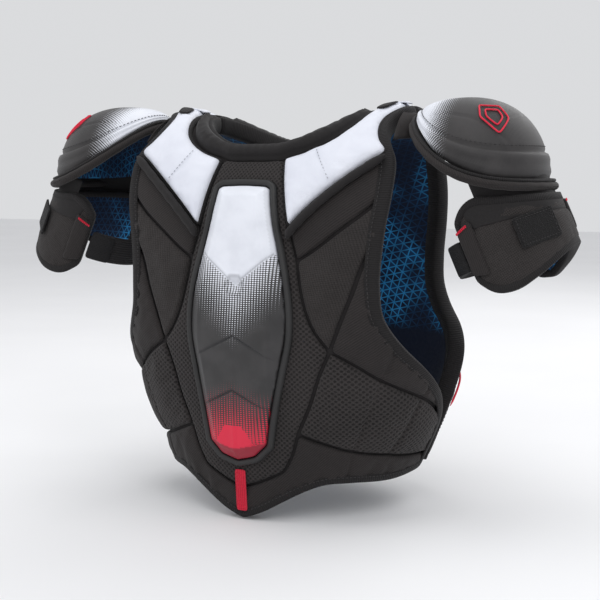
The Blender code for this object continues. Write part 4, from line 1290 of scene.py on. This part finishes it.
def platePrint(mesh):  # where the white and the red are printed, and where painted shade darkens the dimple, the V groove, the side bevels, the creases and the lower red facets
    uv = np.zeros((len(mesh.vertices), 2))
    index = np.empty(len(mesh.loops), int)
    mesh.loops.foreach_get("vertex_index", index)
    loopUv = np.empty(len(mesh.loops) * 2)
    mesh.uv_layers["clothMap"].data.foreach_get("uv", loopUv)
    uv[index] = loopUv.reshape(-1, 2)
    x, h = np.abs(uv[:, 0]), uv[:, 1]
    vLine = plate["dimple"] + plate["slope"] * x
    darkLine = plate["whiteTo"] + 0.9 * x
    fade = np.clip((h - darkLine) / np.maximum(vLine - darkLine, 0.004), 0, 1) ** 0.8 * 0.50
    startRed = plate["redFrom"] - 0.35 * x
    redness = np.clip((startRed - h) / (startRed - plate["redFull"] + 0.010), 0, 1) * 0.52
    solid = (h < plate["redFull"]) & (x < plate["facetHalf"] + 0.62 * (plate["redFull"] - h))
    low = h < plate["lowFacets"] + 0.22 * x
    rim = dimpleRing(x, h)
    dent = np.exp(-(((rim - 1.05) / 0.16) ** 2)) + 0.5 * (rim < 1) * (h > plate["dimple"])
    line = np.exp(-(((h - vLine) / 0.0010) ** 2)) * (rim > 1.1)
    edge = x > np.interp(h, (-0.02, 0.05), (0.036, 0.021))
    values = {
        "fade": np.where(h > vLine - 0.001, 1.2, fade),
        "redness": np.where(solid | low, 1.2, redness),
        "shade": low.astype(float),
        # painted shade: dark in the dimple, along the V groove and on the side bevels
        "tone": np.clip(0.30 * dent + 0.45 * line + 0.13 * edge, 0, 1),
    }
    # painted shade: the creases darken into dark lines
    for crease in plate["creases"]:
        gone = (h - crease + plate["creaseSlope"] * x) / 0.0014
        mark = np.exp(-(gone**2)) * np.clip(1.35 - x / 0.036, 0, 1)
        values["tone"] = np.maximum(values["tone"], mark)
    giveValues(mesh, values)


def breastPlate():
    outline = bothSides(lines["bezel"])
    low, inset = level["plate"], plate["frame"] + level["gap"]
    piece = sewn("breastPlate", frontMiddle, outline, (low + 0.0005, low + 0.0035), "plate", "chest",
                 ("breastbone_plate",), inset=inset, pitch=0.0014, edge=0.0007, sculpt=plateShape, corner=20)
    platePrint(piece.data)
    sewn("breastCore", frontMiddle, outline, (low, low + 0.0042), "foamCover", "chest", ("breastbone_core",),
         0.9, inset=inset + plate["coreIn"], pitch=0.0060, edge=0.0020)
    loop = smoothLine(frontMiddle.flat(outline), 0.0026, corner=20)
    ring = tape("breastFrame", frontMiddle, loop, plate["frameRound"])
    finishPiece(ring, "rubber", "chest", ("breastbone_frame",))


breastPlate()


def hemTab():
    top, bottom, half = tab["top"], tab["bottom"], tab["half"]
    places = smoothLine(boxed((-half, half), (top, bottom)), 0.0015, corner=20)
    low = level["plate"] + 0.0002

    def folds(flat, away):
        return 0.0004 * np.sin((flat[:, 1] - bottom) / tab["rib"] * 2 * pi) * np.clip(away / 0.001, 0, 1)

    sewn("hemTab", frontMiddle, tuple(map(tuple, places)), (low, low + tab["thick"]), "redWeb", "chest",
         ("hem_tab",), inset=0.0003, pitch=0.0014, edge=0.0007, sculpt=folds)
    bars = []
    for height in (top - 0.004, bottom + 0.004):
        line = np.array([(-half + 0.001, height), (half - 0.001, height)])
        line = smoothLine(line, 0.001, closed=False)
        bar = stitchLine("bar", frontMiddle, line, low + 0.0020, length=0.0014, gap=0.0004, radius=0.0005)
        bars.append(bar)
    finishPiece(joined("hemTabStitch", bars), "redThread", "chest")


hemTab()
print("breastbone plate and tab made")


# back
basePad("back", rear, wholeBack, "back_panel")
collar("collarBack", rear, lines["backNeck"], lines["backCollarSide"], lines["backCollarEdge"], "collar_back",
       "back_panel")
spineOutline = bothSides(lines["backCollarEdge"] + lines["spineSeam"] + ((0, -0.72),))
sewnPad("spinePanel", rear, spineOutline, "spine_mesh_panel", "back_panel", "knit",
        crown=0.0004, pitch=0.0042)
kidneyOutline = bothSides(((0, -0.72), lines["spineSeam"][-1]) + backwards(lines["kidneySeam"])
                          + lines["backCorner"] + lines["backHem"])
kidneySeams = [((turn, -0.735), (turn, -0.86)) for turn in (-54, -36, -18, 0, 18, 36, 54)]
sewnPad("kidneyPad", rear, kidneyOutline, "kidney_pad", "back_panel", "fabric", seams=kidneySeams,
        groove=0.0022, crown=0.0020, swell=puff)
for label, hand in sides:
    title = label.capitalize()
    yokeSet("yokeBack" + title, rear, lines["backYokeNeck"], lines["backYokeArm"], lines["backYokeLow"],
            ((38, 0.60), (52, 0.50)), hand, "yoke_back_" + label, "back_panel")
    blade = ((lines["spineSeam"][0], lines["backYokeArm"][-1], lines["backShoulder"][-1])
             + lines["backArmhole"][:5] + lines["bladeSeam"][1:] + ((29, -0.22), (27, -0.05)))
    sewnPad("bladePad" + title, rear, onSide(blade, hand), "blade_pad_" + label, "back_panel", "weave",
            seams=seamsOn("blade", hand), groove=0.0022, crown=0.0028, reach=0.026, swell=puff)
    wing = backwards(lines["bladeSeam"]) + lines["backArmhole"][5:] + lines["kidneySeam"]
    sewnPad("wingPad" + title, rear, onSide(wing, hand), "wing_pad_" + label, "back_panel", "fabric",
            seams=seamsOn("wing", hand), groove=0.0022, crown=0.0026, reach=0.026, swell=puff)


spine = {"bevel": 0.0105, "crown": 0.0058, "step": 0.030, "slope": 0.35, "ramp": 0.0016, "groove": 0.0012}


def spineShape(flat, away):  # overlapping ribs like vertebrae
    lift = np.clip(away / spine["bevel"], 0, 1)
    place = (flat[:, 1] + 0.20 + np.abs(flat[:, 0]) * spine["slope"]) / spine["step"]
    part = place - np.floor(place)
    gone = np.minimum(part, 1 - part) * spine["step"] / spine["groove"]
    return lift * (spine["crown"] + spine["ramp"] * part - spine["groove"] * np.exp(-(gone**2)))


spineLine, spineLow = bothSides(lines["spine"]), level["plate"]
sewn("spinePlate", rearMiddle, spineLine, (spineLow + 0.0005, spineLow + 0.0035), "plastic", "back_panel",
     ("spine_plate",), inset=level["gap"], pitch=0.0021, edge=0.0007, sculpt=spineShape)
sewn("spineCore", rearMiddle, spineLine, (spineLow, spineLow + 0.0042), "foamCover", "back_panel",
     ("spine_core",), 0.9, inset=level["gap"] + spine["bevel"], pitch=0.0060, edge=0.0020)
print("back made")


# shoulder caps
def capMesh(name, hand, outer, inner, sculpt=None, turns=150, rows=46):
    angles = np.arange(turns) / turns * 2 * pi
    skins = []
    for inset, shaped in ((outer, True), (inner, False)):
        rings = []
        for row in range(1, rows + 1):
            t = np.full(turns, row / rows)
            place = dome[hand].at(angles, t, inset)
            if shaped and sculpt:
                peak = dome[hand].at(angles, t, inset + 0.001)
                place = place + unit(place - peak) * sculpt(angles, t, place)[:, None]
            rings.append(place)
        skins.append(rings)
    points, faces, uvs = [], [], []
    for side, rings in enumerate(skins):
        first = len(points)
        points.append(rings[0].mean(0) + (0, 0, 0.0003))
        points.extend(p for ring in rings for p in ring)
        uvs.append((0, 0))
        for row in range(1, rows + 1):
            way = capForm["arc"] * row / rows
            uvs.extend((way * cos(a), way * sin(a)) for a in angles)
        for k in range(turns):
            m = (k + 1) % turns
            fan = (first, first + 1 + k, first + 1 + m)
            faces.append(fan if (side == 0) == (hand < 0) else fan[::-1])
            for row in range(rows - 1):
                a, b = first + 1 + row * turns, first + 1 + (row + 1) * turns
                quad = (a + k, b + k, b + m, a + m)
                faces.append(quad if (side == 0) == (hand < 0) else quad[::-1])
    lastOuter = 1 + (rows - 1) * turns
    lastInner = lastOuter + 1 + rows * turns
    for k in range(turns):
        m = (k + 1) % turns
        quad = (lastOuter + k, lastInner + k, lastInner + m, lastOuter + m)
        faces.append(quad if hand < 0 else quad[::-1])
    points = np.array(points)
    piece = makeMesh(name, points, faces, uvs)
    faceOut(piece, again=False)
    return piece, points


dome = {1: Dome(1), -1: Dome(-1)}
capForm = {"grooveAt": 0.80, "arc": 0.098, "whiteFrom": 0.170, "whiteTo": 0.206}


def capShape(angles, t, place):  # a sewn groove above the padded flange, and the seams of its top
    groove = -0.0022 * np.exp(-(((t - capForm["grooveAt"]) / 0.012) ** 2))
    flange = 0.0016 * np.clip((t - capForm["grooveAt"]) / 0.03, 0, 1)
    edgeWay = np.clip((1 - t) / 0.05, 0, 1)
    puffed = 0.0008 * np.sin(np.clip((t - 0.82) / 0.18, 0, 1) * pi * 2) ** 2
    panelLine = -0.0010 * np.exp(-((np.abs(t * np.sin(angles)) - 0.52) / 0.014) ** 2)
    panelLine *= np.cos(angles) * t > -0.55
    return groove + flange * edgeWay + puffed + panelLine * (t < 0.78)


def quilt(angles, t, place):  # sewn rings on the cap's foam
    return -0.0006 * np.exp(-((np.abs((t * 6) % 1 - 0.5) / 0.08) ** 2))


def capRim(name, hand):  # the padded roll under the cap's edge
    count, ringCount = 180, 22
    spread = cap["roll"] + level["gap"]
    angles = np.arange(count) / count * 2 * pi
    path = dome[hand].at(angles, np.ones(count), -0.6 * spread, sink=spread)
    sections = []
    run, _, _ = frames(path, True)
    centre = path.mean(0)
    turn = np.arange(ringCount) / ringCount * 2 * pi
    for k, place in enumerate(path):
        outward = place - centre
        outward[2] = 0
        outward -= run[k] * (outward @ run[k])
        outward /= np.linalg.norm(outward)
        up = np.cross(outward, run[k])
        up = up if up[2] > 0 else -up
        lobes = 1 + 0.10 * np.cos(2 * turn) + 0.03 * np.sin(k * 0.9)
        ring = (np.cos(turn) * lobes * 1.12)[:, None] * outward + (np.sin(turn) * lobes)[:, None] * up
        sections.append(place + ring * cap["roll"] * 0.95)
    uvs = np.array([(k * 0.0024, j * 0.0014) for k in range(count) for j in range(ringCount)])
    return sweep(name, sections, uvs, True)


def motif(hand):  # a plain double outline in the shape of a shield, stitched on the outer front
    turnAt, tAt, size = radians(52), 0.50, 0.017
    shape = [(-0.9, 0.8), (0.9, 0.8), (1.0, -0.1), (0.0, -1.0), (-1.0, -0.1)]
    lines3d = []
    for scale in (1.0, 0.58):
        loop = smoothLine(np.array(shape) * size * scale, 0.0018, corner=20)
        turns = turnAt - loop[:, 0] / 0.058
        shares = tAt - loop[:, 1] / 0.098
        lines3d.append(dome[hand].at(turns, shares, -0.0010))
    return lines3d


for label, hand in sides:
    title, body = label.capitalize(), "cap_" + label
    shell, places = capMesh("capShell" + title, hand, 0.0, cap["wall"], capShape)
    inboard = np.abs(places[:, 0])
    fade = 0.74 * np.clip((capForm["whiteTo"] - inboard) / (capForm["whiteTo"] - capForm["whiteFrom"]), 0, 1)
    giveValues(shell.data, {"fade": fade})
    finishPiece(shell, "cap", body, ("cap_shell_" + label,))
    foamOuter = cap["wall"] + level["gap"]
    foam, _ = capMesh("capFoam" + title, hand, foamOuter, foamOuter + cap["foam"], quilt, 90, 24)
    finishPiece(foam, "lattice", body, ("cap_foam_" + label,), fill=0.8)
    rim = capRim("capEdge" + title, hand)
    finishPiece(rim, "fabric", body, ("cap_edge_" + label,), fill=0.9)
    angles = np.arange(180) / 180 * 2 * pi
    pipePath = dome[hand].at(angles, np.ones(180), -0.0052, sink=0.0006)
    finishPiece(roll("capPiping" + title, pipePath, 0.0016, 10, closed=True), "tape", body)
    angles = np.append(angles, angles[0])
    share = np.full(181, capForm["grooveAt"] - 0.035)
    seam, under = (dome[hand].at(angles, share, depth) for depth in (-0.0003, 0.002))
    capThread = stitches("capStitch" + title, seam, seam - under, 0.0028, 0.0018, 0.00045)
    finishPiece(capThread, "thread", body)
    cords = [roll("cord", line, 0.00085, 8, closed=True) for line in motif(hand)]
    finishPiece(joined("capMotif" + title, cords), "redThread", body)
print("caps made")


# arm guards
def guardDip(turn):  # how far the top edge drops below the cap at its outer side
    return 0.82 * guard["radius"] * sin(guard["lean"]) * max(0, cos(radians(turn)))


def guardOutline():
    top = [(turn, guardDip(turn)) for turn in range(90, -91, -18)]
    shape = [(guard["front"], 0.014), (guard["front"] - 14, 0.003), *top, (guard["back"] + 6, 0.004),
             (guard["back"], 0.014)]
    return tuple(shape) + tuple((turn, guard["length"] * share) for turn, share in lines["guardHem"])


def guardSculpt(surface):
    line = [(turn, 0.026 + 0.010 * max(0, cos(radians(turn)))) for turn in range(112, -100, -12)]
    bandLine = surface.flat(line)

    def shape(flat, away):
        gone, _ = nearest(flat, bandLine)
        below = flat[:, 1] > np.interp(flat[:, 0], bandLine[::-1, 0], bandLine[::-1, 1])
        return -0.0013 * np.exp(-((gone / 0.0016) ** 2)) + 0.0010 * below * np.clip(gone / 0.006, 0, 1)
    return shape


guardForm = {
    "channel": ((116, 0.022), (98, 0.016), (98, 0.072), (116, 0.066)),  # at the front edge
    "sideChannel": ((-6, 0.0265), (-20, 0.0245), (-24, 0.056), (-12, 0.058)),
    "bandWidth": (0.0052, 0.0265),
    "tacks": ((((115, 0.024), (101, 0.020)), 0.0044), (((-19, 0.0265), (-7, 0.0285)), 0.0034)),
    "binding": 0.0062,
    "patch": (0.022, 0.015),  # half its length and height
    "patchThick": 0.0018,
}


def guardBand(name, surface, body):  # smooth band along the top of the guard
    drop, width = guardForm["bandWidth"]
    topLine = [(turn, guardDip(turn) + drop) for turn in range(104, -93, -8)]
    lowLine = [(turn, width + 0.010 * max(0, cos(radians(turn)))) for turn in range(-92, 105, 8)]
    sewn(name, surface, tuple(topLine + lowLine), (-0.0014, 0.0004), "neoprene", body, inset=0.0,
         pitch=0.0030, edge=0.0010, wrinkle=0.0002)


def barTacks(name, surface, body):
    bars = []
    for ends, lift in guardForm["tacks"]:
        line = smoothLine(surface.flat(ends), 0.0012, closed=False)
        for shift in (0, 0.0012):
            spot = line + (0, shift)
            bars.append(stitchLine("bar", surface, spot, lift, length=0.0016, gap=0.0003, radius=0.0007))
    finishPiece(joined(name, bars), "redThread", body)


def loopPatch(label, hand, body):  # the loop patch and the thread that holds it
    mount = next(m for m in frame["record"]["mounts"] if m["name"] == "loop_patch_" + label)
    out, middle = np.array(mount["axis"]), np.array(mount["pos_m"])
    upward = np.array([-hand * sin(guard["lean"]), 0, cos(guard["lean"])])
    across = np.cross(upward, out)
    across /= np.linalg.norm(across)
    upward = np.cross(out, across)
    wide, tall = guardForm["patch"]
    rim = smoothLine(((-wide, -tall), (wide, -tall), (wide, tall), (-wide, tall)), 0.002, corner=20)
    flat, faces, count = fill(insetLoop(rim, 0.0002), 0.0022, (0.0008,))
    away, _ = nearest(flat, rim, True)
    height = guardForm["patchThick"] * (np.sqrt(1 - (1 - np.clip(away / 0.0010, 0, 1)) ** 2) - 1)
    height -= 0.0005 * np.exp(-(((away - 0.0030) / 0.0006) ** 2))
    plane = middle + flat[:, :1] * across + flat[:, 1:] * upward
    top, base = plane + height[:, None] * out, plane - 0.0020 * out
    total = len(top)
    allFaces = list(faces) + [tuple(total + k for k in f[::-1]) for f in faces]
    allFaces += [((k + 1) % count, k, total + k, total + (k + 1) % count) for k in range(count)]
    title = label.capitalize()
    patch = makeMesh("loopPatch" + title, np.concatenate([top, base]), allFaces, np.concatenate([flat, flat]))
    faceOut(patch)
    finishPiece(patch, "loop", body, ("loop_patch_" + label,))
    seam = smoothLine(insetLoop(rim, 0.003), 0.002, corner=20)
    seam = np.vstack([seam, seam[:1]])
    thread3d = middle + seam[:, :1] * across + seam[:, 1:] * upward - 0.0001 * out
    up = np.tile(out, (len(seam), 1))
    thread = stitches("loopPatchStitch" + title, thread3d, up, 0.0020, 0.0012, 0.00035)
    finishPiece(thread, "thread", body)


for label, hand in sides:
    title, body = label.capitalize(), "arm_guard_" + label
    surface, outline, foam = Guard(hand), guardOutline(), guard["foam"]
    sewn("guardPad" + title, surface, outline, (-foam, -0.0012), "weave", body, ("arm_guard_pad_" + label,),
         0.6, "fabric", pitch=0.0030, edge=0.0030, crown=0.0010, sculpt=guardSculpt(surface), wrinkle=0.0003,
         swell={**puff, "limit": 0.0014})
    liningTop = -foam - level["gap"] / 2
    sewn("guardLining" + title, surface, outline, (liningTop, liningTop - 0.0016), "lattice", body,
         ("arm_lining_" + label,), 0.3, inset=0.0015, pitch=0.0040, edge=0.0010, wrinkle=0.0002)
    loop = smoothLine(surface.flat(outline), 0.0032)
    profile = wrapProfile(guardForm["binding"], liningTop - 0.0020, 0.0006, 0.0014)
    finishPiece(tape("guardBinding" + title, surface, loop, profile), "tape", body)
    sewn("guardChannel" + title, surface, guardForm["channel"], (0.0008, 0.0034), "fabric", body,
         ("arm_channel_" + label,), 0.4, inset=0.0005, pitch=0.0022, edge=0.0016, crown=0.0006, reach=0.008,
         wrinkle=0.0002)
    sewn("guardSideChannel" + title, surface, guardForm["sideChannel"], (-0.0012, 0.0024), "tape", body,
         inset=0.0004, pitch=0.0022, edge=0.0014, crown=0.0005, reach=0.006, wrinkle=0.0002)
    guardBand("guardBand" + title, surface, body)
    barTacks("guardBarTack" + title, surface, body)
    loopPatch(label, hand, body)
print("arm guards made")


# linking cloths across the joints
link = {
    "hangerTurns": (88, -84),
    "hangerTop": -0.022,
    "bridgeTurns": (47.6, 55.9),
    "bridgeReach": 0.956,
    "webTurns": (57.5, 55.5),
    "webHeights": (0.52, 0.99),
    "rootSpan": (0.0312, 0.0608),
    "rootTurns": (8.0, -9.0),
    "rootBend": (1.0, -5.0),
    "trim": ((86.5, -0.625), (84.5, -0.60), (79, -0.545), (73, -0.515)),
}


def guardHanger(label, hand):  # hangs the arm guard inside the shoulder cap
    surface = Guard(hand)
    turns = np.linspace(*link["hangerTurns"], 44)
    dip = np.array([guardDip(turn) for turn in turns])
    rows = []
    for share in (0, 0.35, 0.7, 1):
        along = link["hangerTop"] + 0.006 + (dip + 0.012 - link["hangerTop"] - 0.006) * share
        sink = -guard["foam"] / 2 + 0.0010 * np.sin(turns / 7) * sin(share * pi)
        rows.append(surface.place(turns * surface.girth, along, sink))
    sheet = clothPanel("guardHanger" + label.capitalize(), rows)
    ends = [tuple(row.mean(0)) for row in (rows[0], rows[-1])]
    hangSheet(sheet, ("cap_" + label, "arm_guard_" + label), *ends, "neoprene", ["cap_foam_" + label], "hung")


def shoulderBridge(label, hand):  # the hinge cloth over the top of the shoulder
    turns = np.linspace(*link["bridgeTurns"], 14) * hand
    lift = padBottom + 0.0104 - 0.0022 * np.linspace(-1, 1, 14) ** 6
    arc = torso["rise"] * pi / 2
    rows = []
    for surface, shares in ((front, (link["bridgeReach"], 0.98)), (rear, (0.98, link["bridgeReach"]))):
        for share in shares:
            rows.append(surface.place(turns * torso["girth"], np.full(14, arc * share), lift))
    sheet = clothPanel("shoulderBridge" + label.capitalize(), rows)
    ends = [tuple(row.mean(0)) for row in (rows[1], rows[2])]
    hangSheet(sheet, ("chest", "back_panel"), *ends, "leather",
              ["yokeFront" + label.capitalize(), "yokeBack" + label.capitalize()])


def capLink(label, hand):  # the cloth from the edge of the shoulder to the inner end of the cap
    count = 20
    heights = np.linspace(*link["webHeights"], count)
    turns = np.linspace(*link["webTurns"], count) * hand
    inner = front.place(turns * torso["girth"], torso["rise"] * pi / 2 * heights, 0.0012)
    angles = pi + np.linspace(0.62, -0.10, count)
    outer = dome[hand].at(angles, np.full(count, 0.93), cap["wall"] + 0.0006)
    middle = (inner + outer) / 2 - (0, 0, 0.003)
    sheet = clothPanel("capLink" + label.capitalize(), [inner, middle, outer])
    hangSheet(sheet, ("chest", "cap_" + label), tuple(inner.mean(0)), tuple(outer.mean(0)), "fabric",
              ["chestBinding", "capShell" + label.capitalize()])


def strapRoot(label, hand):  # the sewn end of the arm strap, from inside the guard's rear edge
    surface = Guard(hand)
    count = 14
    heights = np.linspace(*link["rootSpan"], count)
    rearEdge = 360 + guard["back"]

    def across(shift):
        turns = np.full(count, (rearEdge + shift) * surface.girth)
        return surface.place(turns, heights, -guard["foam"] / 2 + 0.0021)

    rows = [across(shift) for shift in np.linspace(*link["rootTurns"], 8)]
    sheet = clothPanel("armStrapRoot" + label.capitalize(), rows, thick=0.0009, step=0.0015)
    bend = [tuple(across(shift).mean(0)) for shift in link["rootBend"]]
    hangSheet(sheet, ("arm_guard_" + label, "arm_strap_" + label), *bend, "elastic",
              ["armElastic" + label.capitalize()])


for label, hand in sides:
    guardHanger(label, hand)
    shoulderBridge(label, hand)
    capLink(label, hand)
    strapRoot(label, hand)
    wingLine = smoothLine(rear.flat(onSide(link["trim"], hand)), 0.003, closed=False)
    trim = rear.place(wingLine[:, 0], wingLine[:, 1], np.full(len(wingLine), padTop + 0.0032))
    finishPiece(roll("wingTrim" + label.capitalize(), trim, 0.0011, 8), "redThread", "back_panel")
print("linking cloths made")


# straps
def strapRibs(flat, away):
    return 0.0002 * np.sin(flat[:, 1] / 0.0022 * 2 * pi) * np.clip(away / 0.002, 0, 1)


def strap(kind, label, surface, outline, tab, low, tabSpan, away=1):  # elastic and its hook tab
    title, body, node = label.capitalize(), kind + "_strap_" + label, (kind + "_elastic_" + label,)
    span = low, low + away * strapForm["thick"]
    sewn(kind + "Elastic" + title, surface, outline, span, "elastic", body, node, inset=0.0005, pitch=0.0030,
         edge=0.0006, sculpt=strapRibs)
    sewn(kind + "HookTab" + title, surface, tab, tabSpan, "hook", body, (kind + "_hook_tab_" + label,),
         inset=0.0006, pitch=0.0026, edge=0.0008)


for label, hand in sides:
    start, end = guard["front"] + 3, 360 + guard["back"] - 3
    low, heights = -guard["foam"] / 2, strapForm["armHeights"]
    tabLow = low + strapForm["patch"] + level["gap"]
    strap("arm", label, Guard(hand), boxed((start, end), heights),
          boxed((start, start + strapForm["armTabTurns"]), heights), low, (tabLow - 0.0009, tabLow + 0.0016))
    heights = strapForm["sideTop"] - strapForm["sideInset"], strapForm["sideBottom"] + strapForm["sideInset"]
    tabTop = level["liningBottom"] - 3 * level["gap"] - strapForm["patch"]
    strap("side", label, rear, onSide(boxed(strapForm["sideTurns"], heights), hand),
          onSide(boxed(strapForm["sideTabTurns"], heights), hand), tabTop - strapForm["patch"] - level["gap"],
          (tabTop - strapForm["patch"], tabTop - 0.0002), away=-1)
    web = onSide(((49.5, 0.93), (54.6, 0.93), (52.6, 0.80), (48.5, 0.80)), hand)
    webLow = padBottom + 0.0106
    sewn("capWeb" + label.capitalize(), front, web, (webLow, webLow + strapForm["patch"]), "tape", "chest",
         ("cap_strap_" + label,), None, "webbing", inset=0.0004, pitch=0.0024, edge=0.0007)
print("straps made")


# camera, light and floor
view = {
    "azimuth": radians(27.3),
    "elevation": radians(6.0),
    "distance": 1.30,
    "height": -0.177,
    "frameWidth": 0.642,
    "shift": 0.0127,
}


def addCamera():
    data = bpy.data.cameras.new("camera")
    data.lens = data.sensor_width * view["distance"] / view["frameWidth"]
    data.shift_x = view["shift"]
    camera = bpy.data.objects.new("camera", data)
    a, e = view["azimuth"], view["elevation"]
    away = Vector((sin(a) * cos(e), -cos(a) * cos(e), sin(e)))
    camera.location = Vector((0, 0, view["height"])) + away * view["distance"]
    camera.rotation_euler = (-away).to_track_quat("-Z", "Y").to_euler()
    bpy.context.scene.collection.objects.link(camera)
    bpy.context.scene.camera = camera


def addLamp(name, place, size, power, target=(0, 0, -0.18)):
    data = bpy.data.lights.new(name, "AREA")
    data.shape = "RECTANGLE"
    data.size, data.size_y = size
    data.energy = power
    lamp = bpy.data.objects.new(name, data)
    lamp.location = place
    lamp.rotation_euler = (Vector(target) - Vector(place)).to_track_quat("-Z", "Y").to_euler()
    bpy.context.scene.collection.objects.link(lamp)


def addFloor():
    mesh = bpy.data.meshes.new("floor")
    half, z = 6.0, float(cadBox[0][2]) - 0.004
    corners = [(-half, -half, z), (half, -half, z), (half, half, z), (-half, half, z)]
    mesh.from_pydata(corners, [], [(0, 1, 2, 3)])
    floor = bpy.data.objects.new("floor", mesh)
    bpy.context.scene.collection.objects.link(floor)
    look = Look("floor_paper", Roughness=0.85)
    look.feed("Base Color", look.mix(look.noise(3, 2), (0.80, 0.80, 0.81), (0.86, 0.86, 0.87)))
    mesh.materials.append(look.material)
    floor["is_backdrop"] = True
    world = bpy.data.worlds.new("studio")
    world.use_nodes = True
    sky = world.node_tree.nodes["Background"].inputs
    sky["Color"].default_value = (0.94, 0.95, 0.97, 1)
    sky["Strength"].default_value = 0.75
    bpy.context.scene.world = world


lamps = {  # place, size and power
    "key": ((1.3, -1.7, 1.6), (1.4, 1.4), 19),
    "side": ((-1.9, -1.2, 0.7), (1.4, 1.8), 9),
    "rim": ((0.6, 1.9, 1.3), (1.8, 1.2), 16),
    "top": ((0.0, -0.2, 2.1), (1.6, 1.6), 12),
}
addCamera()
for name, lamp in lamps.items():
    addLamp(name, *lamp)
addFloor()
bpy.context.scene.view_settings.view_transform = "Standard"  # plain colours, as the dyes are given

boxes = {"cad": cadBox, "visual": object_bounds()}
{key: [list(map(float, corner)) for corner in box] for key, box in boxes.items()}
